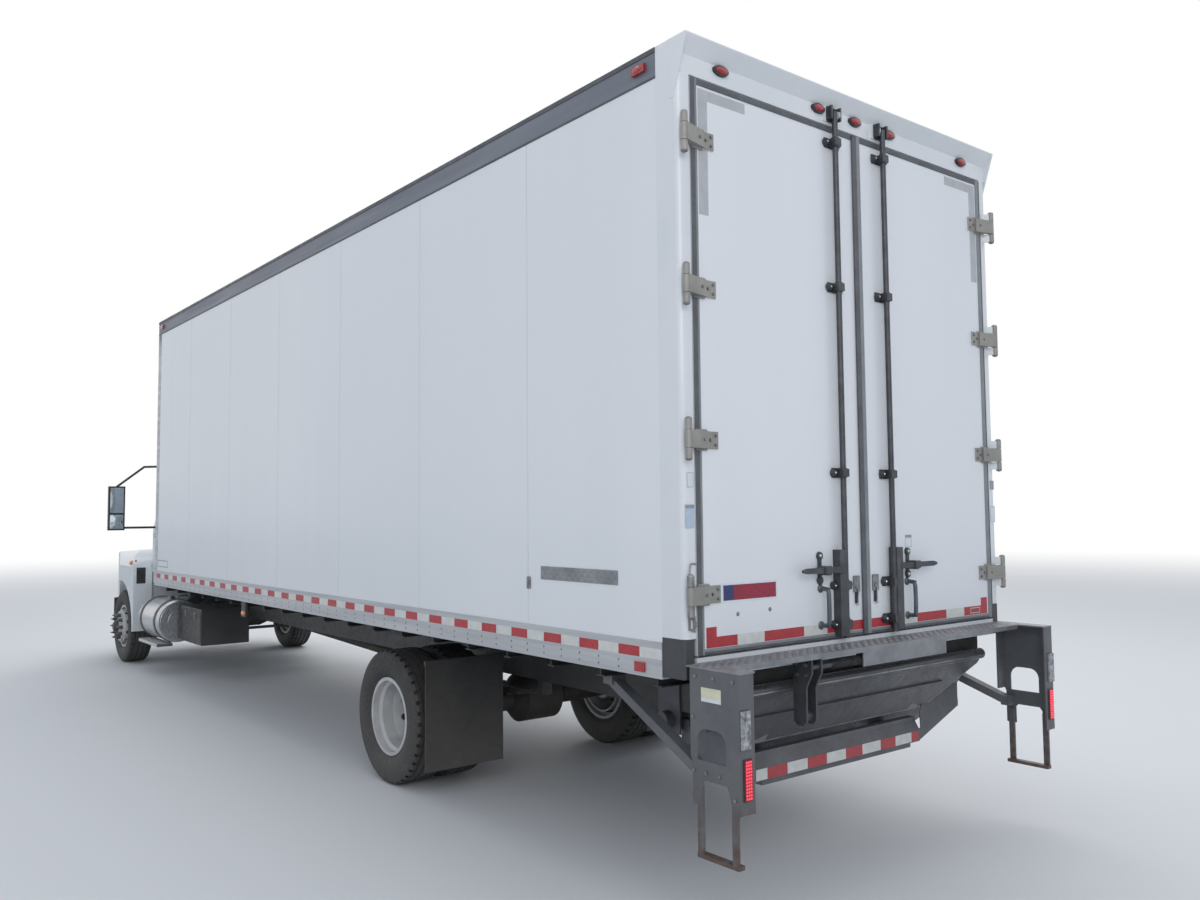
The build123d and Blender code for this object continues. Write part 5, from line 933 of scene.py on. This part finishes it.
# Rear hubs: cast hub caps in two steps with a ring of screws, dull black, and dark steel nuts that clamp
# both discs of the pair
nut_circle, nut_count = 0.1429, 10


def by_axle(axle, x, radius=0.0, share=0.0):
    """Point at x across the truck, out by radius from an axle's line, at a share of a full turn round it."""
    return Vector((x, axle[1] + radius * cos(2 * pi * share), axle[2] + radius * sin(2 * pi * share)))


nut_steel = wear("nut_steel", (0.075, 0.076, 0.080), (0.13, 0.125, 0.12), 0.42, 0.6, scale=20.0)
hub_black = wear("hub_black", (0.030, 0.031, 0.034), (0.060, 0.058, 0.056), 0.48, 0.2, scale=10.0,
                 dirt_top=0.9, dirt=0.3)
rear_axle = pivots["rear_wheels_left_spin"]
for side, name in ((1, "left"), (-1, "right")):
    outwards = Matrix.Rotation(side * pi / 2, 4, "Y")
    hub_cap, nuts = bmesh.new(), bmesh.new()
    cone(hub_cap, by_axle(rear_axle, side * 0.9705), outwards, (0.1065, 0.0935), 0.052, 36)
    cone(hub_cap, by_axle(rear_axle, side * 1.0145), outwards, (0.082, 0.060), 0.050, 28)
    for i in range(8):
        cone(hub_cap, by_axle(rear_axle, side * 0.999, 0.084, i / 8), outwards, (0.009, 0.009), 0.014, 6)
    for i in range(nut_count):
        cone(nuts, by_axle(rear_axle, side * 0.9590, nut_circle, i / nut_count), outwards, (0.0185, 0.0160),
             0.040, 6)
    place_piece("rear_hub_" + name, hub_cap, hub_black, "rear_wheels_" + name)
    place_piece("rear_nuts_" + name, nuts, nut_steel, "rear_wheels_" + name)

# Front hubs: turned black hub with a domed oil cap and its ring of screws, and pointed steel covers pushed
# onto the wheel nuts
front_axle = pivots["front_wheel_left_spin"]
for side, name in ((1, "left"), (-1, "right")):
    front_hub, nut_covers = bmesh.new(), bmesh.new()
    outward = (side, 0, 0)
    stud(front_hub, by_axle(front_axle, side * 1.2290), outward, 0.086, 0.014, 32, 0.94)
    stud(front_hub, by_axle(front_axle, side * 1.2430), outward, 0.066, 0.030, 28, 0.80)
    dome(front_hub, by_axle(front_axle, side * 1.2720), (0.010, 0.050, 0.050), 20, 10)
    for i in range(8):
        stud(front_hub, by_axle(front_axle, side * 1.2420, 0.077, i / 8), outward, 0.006, 0.006, 6)
    for i in range(nut_count):
        for x, radius, tall, segments, taper in (
            (1.200, 0.0235, 0.010, 16, 0.9), (1.210, 0.0205, 0.030, 12, 0.92),
            (1.240, 0.0185, 0.042, 12, 0.16),
        ):
            stud(nut_covers, by_axle(front_axle, side * x, nut_circle, i / nut_count), outward, radius, tall,
                 segments, taper)
    place_piece("front_hub_" + name, front_hub, hub_black, "front_wheel_" + name)
    place_piece("nut_covers_" + name, nut_covers, nut_steel, "front_wheel_" + name)

# Cab: pressed steel shell, doors and hood in gloss white, spot welded, with tinted glass bonded in, black
# moulded trim and a bright grille. The refrigeration unit's cover has the same gloss.
cab_paint = wear("cab_paint", (0.76, 0.79, 0.81), (0.71, 0.745, 0.775), 0.24, scale=1.2, bump=0.00008,
                 dirt_top=1.3, dirt=0.26, spread=0.03)
clear_coat(cab_paint, 0.6, 0.08)
dress(cab_paint, "cab_shell", "cab_roof", "cab_door_left", "cab_door_right", "hood", "reefer_unit")
window_glass = finish("window_glass", (0.62, 0.70, 0.72), 0.04)
tree, shader, place = workings(window_glass)
shader.inputs["Transmission Weight"].default_value = 0.9
shader.inputs["IOR"].default_value = 1.45
tree.links.new(between(tree, grain(tree, place, 12.0), 0.3, 0.8, 0.02, 0.10), shader.inputs["Roughness"])
dress(window_glass, "cab_glass", "door_glass_left", "door_glass_right")
trim_plastic = wear("trim_plastic", (0.024, 0.025, 0.027), (0.040, 0.040, 0.042), 0.55, scale=14.0,
                    bump=0.0008)
dress(trim_plastic, "mirror_left", "mirror_right", "front_bumper")
grille_bright = wear("grille_bright", (0.66, 0.67, 0.69), (0.52, 0.53, 0.55), 0.12, 1.0, scale=16.0,
                     bump=0.0001, spread=0.05)
dress(grille_bright, "grille")

# Headlamps: a clear lens in a black moulded surround, with two bright reflector bowls and an amber strip in
# each, and an amber indicator on the corner of the fender beside it
lamp_glass = wear("headlamp_lens", (0.70, 0.73, 0.75), (0.58, 0.60, 0.62), 0.06, 0.2, scale=40.0, spread=0.03)
dress(lamp_glass, "headlamps")
lens_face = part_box("headlamps")[0].y
amber_lens = wear("amber_lens", (0.80, 0.24, 0.02), (0.62, 0.15, 0.01), 0.12, scale=50.0, spread=0.04)
clear_coat(amber_lens, 0.6)
lamp_frames, lamp_bowls, indicators = bmesh.new(), bmesh.new(), bmesh.new()
for side in (1, -1):
    border(lamp_frames, (0.636, 0.884), (0.876, 1.064), 0.012,
           lambda x, z: (side * x, lens_face - 0.0025, z), (0, 0.012, 0))
    for x in (0.702, 0.798):
        for radius, reach in ((0.046, 0.0055), (0.034, 0.0080), (0.016, 0.0105)):
            dome(lamp_bowls, (side * x, lens_face, 0.985), (radius, reach, radius * 1.2), 24, 12)
    bar(indicators, (side * 0.652, side * 0.868), (lens_face - 0.0045, lens_face + 0.001), (0.892, 0.920),
        0.002)
    dome(indicators, (side * 1.040, -5.500, 1.085), (0.020, 0.050, 0.022), 16, 8)
place_piece("headlamp_frames", lamp_frames, trim_plastic, "hood")
place_piece("headlamp_bowls", lamp_bowls, grille_bright, "hood")
place_piece("indicator_lenses", indicators, amber_lens, "hood")

# Grille: a dark woven mesh clipped behind the bright slats, with bright beads along each slat and five
# upright bars in front
mesh_black = wear("grille_mesh", (0.012, 0.012, 0.013), (0.030, 0.030, 0.032), 0.6, scale=12.0)
tree, shader, place = workings(mesh_black)
relief(tree, shader, cells(tree, place, 85), 0.004, 1.0)
grille_back, grille_beads = bmesh.new(), bmesh.new()
bar(grille_back, (-0.428, 0.428), (-5.7400, -5.7360), (0.862, 1.188), 0.001)
for i in range(5):
    slat_z = 0.925 + 0.05 * i
    pipe(grille_beads, ((-0.402, -5.7735, slat_z), (0.402, -5.7735, slat_z)), 0.0045, 0, 8)
for x in (-0.27, -0.135, 0.0, 0.135, 0.27):
    bar(grille_beads, (x - 0.004, x + 0.004), (-5.7715, -5.7640), (0.888, 1.162), 0.0015)
place_piece("grille_mesh", grille_back, mesh_black, "hood")
place_piece("grille_beads", grille_beads, grille_bright, "hood")

# Hood fittings: an amber lamp and a black vent with six slats on each fender, rubber hold-downs that latch
# the hood at its rear edge, and the pressed creases along its top
fender_lamps, fender_vents, hold_downs, hood_creases = bmesh.new(), bmesh.new(), bmesh.new(), bmesh.new()
fender_rear = -4.2705
for side in (1, -1):
    dome(fender_lamps, (side * 1.180, -4.405, 1.252), (0.040, 0.052, 0.034), 20, 12)
    stud(fender_vents, (side * 1.160, -4.405, 1.244), (side * 0.92, 0, 0.39), 0.058, 0.016, 20, 0.94)
    bar(fender_vents, (side * 1.062, side * 1.166), (fender_rear - 0.006, fender_rear + 0.0005),
        (1.006, 1.200), 0.003)
    for i in range(6):
        foot = 1.022 + 0.029 * i
        top = foot + 0.012
        slat = ((1.070, foot), (1.158, foot), (1.158, top), (1.070, top))
        slab(fender_vents, [(side * x, fender_rear, z) for x, z in slat], (0, 0.007, -0.006))
    bar(hold_downs, (side * 0.619, side * 0.636), (-4.470, -4.345), (1.470, 1.500), 0.004, 2)
    bar(hold_downs, (side * 0.619, side * 0.644), (-4.478, -4.450), (1.456, 1.514), 0.004, 2)
    crease = ((-5.700, 1.345), (-5.520, 1.4325), (-4.335, 1.6805))
    pipe(hood_creases, [(side * 0.46, y, z) for y, z in crease], 0.0045, 0.05, 8)
place_piece("fender_lamps", fender_lamps, amber_lens, "hood")
place_piece("fender_vents", fender_vents, trim_plastic, "hood")
place_piece("hood_hold_downs", hold_downs, flap_black, "hood")
place_piece("hood_creases", hood_creases, cab_paint, "hood")

# Bumper: moulded black beam on steel brackets, with bright bolts, a bead along its top edge, and a blank
# number plate in a bright rim
bumper_bolts, blank_plate = bmesh.new(), bmesh.new()
plate_front = -5.8975
for side in (1, -1):
    for x, z in ((0.38, 0.690), (0.38, 0.500), (0.62, 0.690), (0.62, 0.500)):
        stud(bumper_bolts, (side * x, plate_front + 0.003, z), (0, -1, 0), 0.012, 0.004, 12)
    pipe(bumper_bolts, ((side * 0.02, -5.881, 0.7455), (side * 0.84, -5.881, 0.7455)), 0.004, 0, 8)
border(bumper_bolts, (-0.155, 0.155), (0.510, 0.670), 0.009, lambda x, z: (x, plate_front, z), (0, 0.003, 0))
bar(blank_plate, (-0.152, 0.152), (plate_front + 0.0005, plate_front + 0.003), (0.513, 0.667), 0.0008)
place_piece("bumper_bolts", bumper_bolts, bright_steel, "truck")
place_piece("number_plate", blank_plate, label_white, "truck")

# Windscreen and rear window: glass held by black rubber all round, wipers of black steel and rubber parked
# low on their two pivots, and five amber lamps screwed to the roof
window_rubber, wipers, roof_lamps = bmesh.new(), bmesh.new(), bmesh.new()
screen_foot = Vector((0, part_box("cab_shell")[0].y, 1.660))


def on_screen(x, rise, out):
    """Point on the windscreen's outer plane: across, up its slope, out from it."""
    slope = Vector((0, 0.340, 0.790)).normalized()
    return screen_foot + Vector((x, 0, 0)) + slope * rise + Vector((0, -slope.z, slope.y)) * out


rubber_outer = ((-0.872, 0.022), (0.872, 0.022), (0.788, 0.818), (-0.788, 0.818))
rubber_inner = ((-0.830, 0.058), (0.830, 0.058), (0.753, 0.782), (-0.753, 0.782))
surround(window_rubber, [on_screen(x, rise, 0.003) for x, rise in rubber_outer],
         [on_screen(x, rise, 0.003) for x, rise in rubber_inner],
         on_screen(0, 0, -0.018) - on_screen(0, 0, 0))
border(window_rubber, (-0.580, 0.580), (1.780, 2.200), 0.035, lambda x, z: (x, -3.2140, z), (0, -0.012, 0))
for x in (-0.62, 0.06):
    pipe(wipers, (on_screen(x, 0.005, 0.020), on_screen(x + 0.06, 0.050, 0.024),
                  on_screen(x + 0.46, 0.170, 0.016)), 0.0065, 0.02, 8)
    pipe(wipers, (on_screen(x + 0.12, 0.072, 0.008), on_screen(x + 0.66, 0.215, 0.008)), 0.0075, 0, 6)
    dome(wipers, on_screen(x, 0.005, 0.016), (0.018, 0.018, 0.018), 12, 6)
for x in (-0.62, -0.17, 0.0, 0.17, 0.62):
    dome(roof_lamps, (x, -3.800, 2.552), (0.046, 0.032, 0.024), 16, 8)
place_piece("window_rubber", window_rubber, flap_black, "truck")
place_piece("wipers", wipers, trim_plastic, "truck")
place_piece("roof_lamps", roof_lamps, amber_lens, "truck")

# Cab doors: rubber round the window, a pull handle of bent bar in its black plate with a lock below, a
# rubber belt moulding, and the silvered glasses of the mirrors, slightly bulged, in black rims


def on_door(side, y, z, out):
    """Point on the cab's side: upright below the belt line, leaning in above it."""
    return Vector((side * (0.975 - 0.13014 * max(0.0, z - 1.700) + out), y, z))


mirror_silver = wear("mirror_silver", (0.66, 0.72, 0.76), (0.55, 0.62, 0.67), 0.05, 0.95, scale=5.0, bump=0.0,
                     spread=0.03)
glass_outer = ((-4.150, 1.712), (-3.410, 1.712), (-3.410, 2.358), (-3.856, 2.358))
glass_inner = ((-4.096, 1.737), (-3.437, 1.737), (-3.437, 2.328), (-3.838, 2.328))
pull_bends = ((-3.530, 0.000), (-3.524, 0.026), (-3.426, 0.026), (-3.420, 0.000))
mirror_x, mirror_half = 1.440, 0.075
for side, name in ((1, "left"), (-1, "right")):
    body = "cab_door_" + name
    door_rubber, door_pull, mirror_glass, mirror_rim = bmesh.new(), bmesh.new(), bmesh.new(), bmesh.new()
    surround(door_rubber, [on_door(side, y, z, 0.004) for y, z in glass_outer],
             [on_door(side, y, z, 0.004) for y, z in glass_inner], (-side * 0.020, 0, 0))
    bar(door_rubber, (side * 0.9745, side * 0.9800), (-4.190, -3.372), (1.683, 1.697), 0.002)
    border(door_pull, (-3.545, -3.405), (1.560, 1.640), 0.010, lambda y, z: on_door(side, y, z, 0.003),
           (-side * 0.004, 0, 0))
    pipe(door_pull, [on_door(side, y, 1.600, out) for y, out in pull_bends], 0.0085, 0.010, 10)
    stud(door_pull, on_door(side, -3.475, 1.545, -0.001), (side, 0, 0), 0.012, 0.004, 14)
    for low, high, swell in ((1.868, 2.168, 0.0015), (1.678, 1.846, 0.009)):
        outlines = []
        for inner, outer, margin in ((1.357, 1.523, 0.008), (1.366, 1.514, 0.0)):
            foot, top = low - margin, high + margin
            outlines.append([(side * x, -4.1065, z) for x, z in ((inner, foot), (outer, foot), (outer, top),
                                                                 (inner, top))])
        surround(mirror_rim, *outlines, (0, -0.006, 0))
        middle, half_height = Vector((side * mirror_x, -4.1085, (low + high) / 2)), (high - low) / 2
        sized = Matrix.Diagonal((mirror_half, half_height + 0.001, 1, 1))
        made = bmesh.ops.create_grid(mirror_glass, x_segments=10, y_segments=14, size=1,
                                     matrix=Matrix.Translation(middle) @ rearwards @ sized)
        for vert in made["verts"]:
            across = (vert.co.x - middle.x) / mirror_half
            upward = (vert.co.z - middle.z) / half_height
            vert.co.y += swell * (1 - across * across) * (1 - upward * upward)
    place_piece("door_rubber_" + name, door_rubber, flap_black, body)
    place_piece("door_pull_" + name, door_pull, trim_plastic, body)
    place_piece("mirror_glass_" + name, mirror_glass, mirror_silver, body)
    place_piece("mirror_rim_" + name, mirror_rim, trim_plastic, body)

# Dashboard: moulded in grained dark vinyl, screwed across the cab under the windscreen, with the steering
# column and wheel
dash_vinyl = wear("dash_vinyl", (0.09, 0.09, 0.095), (0.12, 0.12, 0.125), 0.6, scale=25.0, bump=0.0008)
dress(dash_vinyl, "dashboard")

# Seats: cushion, leaning back and head pad for two, each a foam pad in dark grained cloth with sewn
# channels. Piping is sewn round each cushion's waist, and black moulded bases stand on the cab's floor.
seat_cloth = wear("seat_cloth", (0.12, 0.12, 0.14), (0.17, 0.17, 0.19), 0.85, scale=45.0, bump=0.0010)
workings(seat_cloth)[1].inputs["Sheen Weight"].default_value = 0.4
dress(seat_cloth, "seats")
seat_y, seat_z, back_lean = -3.705, 1.392, radians(81.5)


def pad(mesh, centre, half, lean=0.0, channels=3, swell=0.022):
    """A crowned cushion with sewn channels along its length, its middle and half sizes given."""
    blank = bmesh.new()
    bmesh.ops.create_cube(blank, size=2)
    bmesh.ops.subdivide_edges(blank, edges=blank.edges[:], cuts=11, use_grid_fill=True)
    turn = Matrix.Rotation(lean, 4, "X")
    for vert in blank.verts:
        across, along, through = vert.co
        edge = (1 - across ** 4) * (1 - along ** 4)
        seam = abs(cos(pi * channels * (across + 1) / 2)) ** 0.35 if abs(across) < 0.97 else 1.0
        seam = 1.0 - 0.10 * (1.0 - seam)
        pull = 1.0 - 0.045 * (across * along) ** 2
        shape = Vector((across * half[0] * pull, along * half[1] * pull,
                        through * ((half[2] - swell) * (0.72 + 0.28 * edge) * seam + swell * edge)))
        vert.co = Vector(centre) + turn @ shape
    sewn = bpy.data.meshes.new("sewn_pad")
    blank.to_mesh(sewn)
    blank.free()
    mesh.from_mesh(sewn)
    bpy.data.meshes.remove(sewn)


seat_piping = wear("seat_piping", (0.06, 0.06, 0.07), (0.09, 0.09, 0.10), 0.7, scale=60.0)
seat_cushions, seat_backs, head_pads = bmesh.new(), bmesh.new(), bmesh.new()
seat_bases, pipings = bmesh.new(), bmesh.new()
waist = ((1, 0), (1, 1), (0, 1), (-1, 1), (-1, 0), (-1, -1), (0, -1), (1, -1), (1, 0))
for x in (0.430, -0.430):
    pad(seat_cushions, (x, seat_y, seat_z), (0.245, 0.228, 0.058))
    pad(seat_backs, (x, -3.418, 1.690), (0.238, 0.245, 0.052), back_lean)
    pad(head_pads, (x, -3.368, 1.985), (0.140, 0.062, 0.040), back_lean, 1, 0.016)
    pipe(pipings, [(x + 0.243 * across, seat_y + 0.226 * along, seat_z) for across, along in waist],
         0.0045, 0.05, 8)
    bar(seat_bases, (x - 0.17, x + 0.17), (-3.850, -3.460), (1.0655, 1.312), 0.02, 2)
    bar(seat_bases, (x - 0.21, x + 0.21), (-3.900, -3.440), (1.300, 1.338), 0.01, 2)
    for end in (-0.07, 0.07):
        pipe(seat_bases, ((x + end, -3.385, 1.900), (x + end, -3.372, 1.960)), 0.006, 0, 8)
for name, mesh, fill in (("seat_cushions", seat_cushions, 0.7), ("seat_backs", seat_backs, 0.65),
                         ("head_pads", head_pads, 0.75)):
    cushion = place_piece(name, mesh, seat_cloth, "truck")
    smoothing = cushion.modifiers.new("rounded", "SUBSURF")
    smoothing.levels = smoothing.render_levels = 1
    for face in cushion.data.polygons:
        face.use_smooth = True
    if name == "seat_cushions":
        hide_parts("seats")
place_piece("seat_bases", seat_bases, trim_plastic, "truck")
place_piece("seat_piping", pipings, seat_piping, "truck")

# Refrigeration unit: white steel cover bolted to the front wall, with a dark finned core behind its louvres
# in a dark rim, rubber seams between the cover's panels, and black latches and hinges
core_dark = wear("reefer_core", (0.035, 0.036, 0.038), (0.075, 0.076, 0.080), 0.5, 0.4, scale=8.0)
tree, shader, place = workings(core_dark)
relief(tree, shader, node(tree, "TexWave", {"Vector": place, "Scale": 60})["Fac"], 0.003, 0.8)
cover_low, cover_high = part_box("reefer_unit")
cover_front, cover_side = cover_low.y, cover_high.x
reefer_core, reefer_seams, reefer_latches = bmesh.new(), bmesh.new(), bmesh.new()
bar(reefer_core, (-0.6385, 0.6385), (-3.4690, -3.4660), (2.902, 3.418), 0.001)
border(reefer_core, (-0.662, 0.662), (2.878, 3.442), 0.022, lambda x, z: (x, cover_front - 0.0015, z),
       (0, 0.004, 0))
front_seam = (cover_front - 0.0012, cover_front + 0.001)
for z in (2.835, 3.480):
    bar(reefer_seams, (-cover_side + 0.0005, cover_side - 0.0005), front_seam, (z, z + 0.005))
for side in (1, -1):
    side_seam = (side * (cover_side - 0.0005), side * (cover_side + 0.0012))
    bar(reefer_seams, (side * 0.700, side * 0.705), front_seam, (2.765, 3.715))
    bar(reefer_seams, side_seam, (-3.330, -3.325), (2.580, 3.870))
    bar(reefer_seams, side_seam, (-3.520, -2.970), (2.835, 2.840))
    for z in (2.95, 3.36):
        bar(reefer_latches, (side * 0.715, side * 0.745), (cover_front - 0.0095, cover_front + 0.001),
            (z, z + 0.070), 0.004, 2)
        stud(reefer_latches, (side * 0.730, cover_front - 0.009, z + 0.050), (0, -1, 0), 0.010, 0.006, 10)
        bar(reefer_latches, (side * (cover_side - 0.0005), side * (cover_side + 0.008)), (-3.420, -3.390),
            (z, z + 0.080), 0.003, 2)
place_piece("reefer_core", reefer_core, core_dark, "truck")
place_piece("reefer_seams", reefer_seams, seal_grey, "truck")
place_piece("reefer_latches", reefer_latches, trim_plastic, "truck")

# Fuel tank: a drum of brushed aluminium with welded beads round its ends, held by straps. It has a zinc
# filler cap and pipe on top, and a step of bright chequer plate is bolted below it.
tank_metal = finish("tank_metal", (0.62, 0.64, 0.66), 0.3, 0.85)
tree, shader, place = workings(tank_metal)
brushed = grain(tree, place, 60.0, 3.0, (1, 6.0, 1))
brushed_tone = tint(tree, between(tree, brushed, 0.3, 0.7), (0.66, 0.68, 0.70), (0.48, 0.50, 0.53))
tree.links.new(road_dirt(tree, place, brushed_tone, 0.9, 0.5), shader.inputs["Base Color"])
tree.links.new(between(tree, brushed, 0.3, 0.7, 0.22, 0.42), shader.inputs["Roughness"])
relief(tree, shader, brushed, 0.0003)
dress(tank_metal, "fuel_tank")
tank_low, tank_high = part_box("fuel_tank")
tank_line = (tank_low + tank_high) / 2
tank_fittings, tank_beads, step_tread = bmesh.new(), bmesh.new(), bmesh.new()
stud(tank_fittings, (0.985, -3.470, 0.852), (0.14, 0, 0.99), 0.050, 0.034, 24, 0.92)
stud(tank_fittings, (0.990, -3.470, 0.884), (0.14, 0, 0.99), 0.034, 0.010, 8, 0.9)
pipe(tank_fittings, ((0.86, -3.60, 0.842), (0.86, -3.60, 0.878), (0.70, -3.62, 0.885), (0.52, -3.62, 0.868)),
     0.007, 0.02, 8)
for y in (tank_low.y - 0.001, tank_high.y + 0.001):
    for radius in (0.205, 0.120):
        ring = [(tank_line.x + radius * cos(2 * pi * k / 24), y, tank_line.z + radius * sin(2 * pi * k / 24))
                for k in range(25)]
        pipe(tank_beads, ring, 0.004, 0, 6)
for y in (-3.945, -3.365):
    for x, z, lift in ((1.158, 0.730, 0.44), (1.160, 0.510, -0.44)):
        stud(tank_fittings, (x, y, z), (0.9, 0, lift), 0.010, 0.016, 6)
bar(step_tread, (1.0095, 1.1815), (-4.0445, -3.2655), (0.3715, 0.3745), 0.001)
bar(step_tread, (1.1795, 1.1825), (-4.0445, -3.2655), (0.341, 0.3740), 0.001)
chequer(step_tread, 6, 29, lambda row, i: (1.024 + 0.0262 * row, -4.030 + 0.0268 * i, 0.3752), upwards)
place_piece("tank_fittings", tank_fittings, bolt_zinc, "truck")
place_piece("tank_beads", tank_beads, tank_metal, "truck")
place_piece("step_tread", step_tread, bright_steel, "truck")

# Tool box and battery box: welded steel boxes hung from the frame's sides, in the frame's black paint, each
# with a folded seam round its lid, two hinge pads at the foot and two zinc latches near the top
box_seams, box_latches = bmesh.new(), bmesh.new()
for box_name, side in (("tool_box", 1), ("battery_box", -1)):
    low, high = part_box(box_name)
    face_x = high.x if side == 1 else low.x
    border(box_seams, (low.y + 0.03, high.y - 0.03), (low.z + 0.03, high.z - 0.03), 0.020,
           lambda y, z: (face_x + side * 0.004, y, z), (-side * 0.006, 0, 0))
    for share in (0.28, 0.72):
        middle = low.y + (high.y - low.y) * share
        bar(box_latches, (face_x - side * 0.001, face_x + side * 0.010), (middle - 0.022, middle + 0.022),
            (high.z - 0.115, high.z - 0.045), 0.004, 2)
        pipe(box_latches, [(face_x + side * out, middle + shift, high.z - down) for out, shift, down in (
            (0.008, -0.012, 0.100), (0.020, 0.0, 0.085), (0.008, 0.012, 0.070))], 0.004, 0.006, 8)
        bar(box_seams, (face_x - side * 0.001, face_x + side * 0.008), (middle - 0.035, middle + 0.035),
            (low.z + 0.020, low.z + 0.040), 0.003, 2)
place_piece("box_seams", box_seams, chassis_paint, "truck")
place_piece("box_latches", box_latches, bolt_zinc, "truck")

# Rail lamps and wall label: an amber lamp on a black bracket bolted under each lower rail, and a bare
# outlined label stuck at the front of the left wall
rail_lamp_bases, rail_lamps, wall_label = bmesh.new(), bmesh.new(), bmesh.new()
for side in (1, -1):
    bar(rail_lamp_bases, (side * 1.262, side * 1.288), (-0.175, -0.075), (0.925, 1.064), 0.004, 2)
    dome(rail_lamps, (side * 1.288, -0.125, 0.958), (0.014, 0.046, 0.022), 18, 10)
border(wall_label, (-2.840, -2.470), (1.270, 1.345), 0.010, lambda y, z: (wall_face + 0.0007, y, z),
       (-0.0008, 0, 0))
place_piece("rail_lamp_bases", rail_lamp_bases, chassis_paint, "truck")
place_piece("rail_lamps", rail_lamps, amber_lens, "truck")
place_piece("wall_label", wall_label, label_grey, "truck")
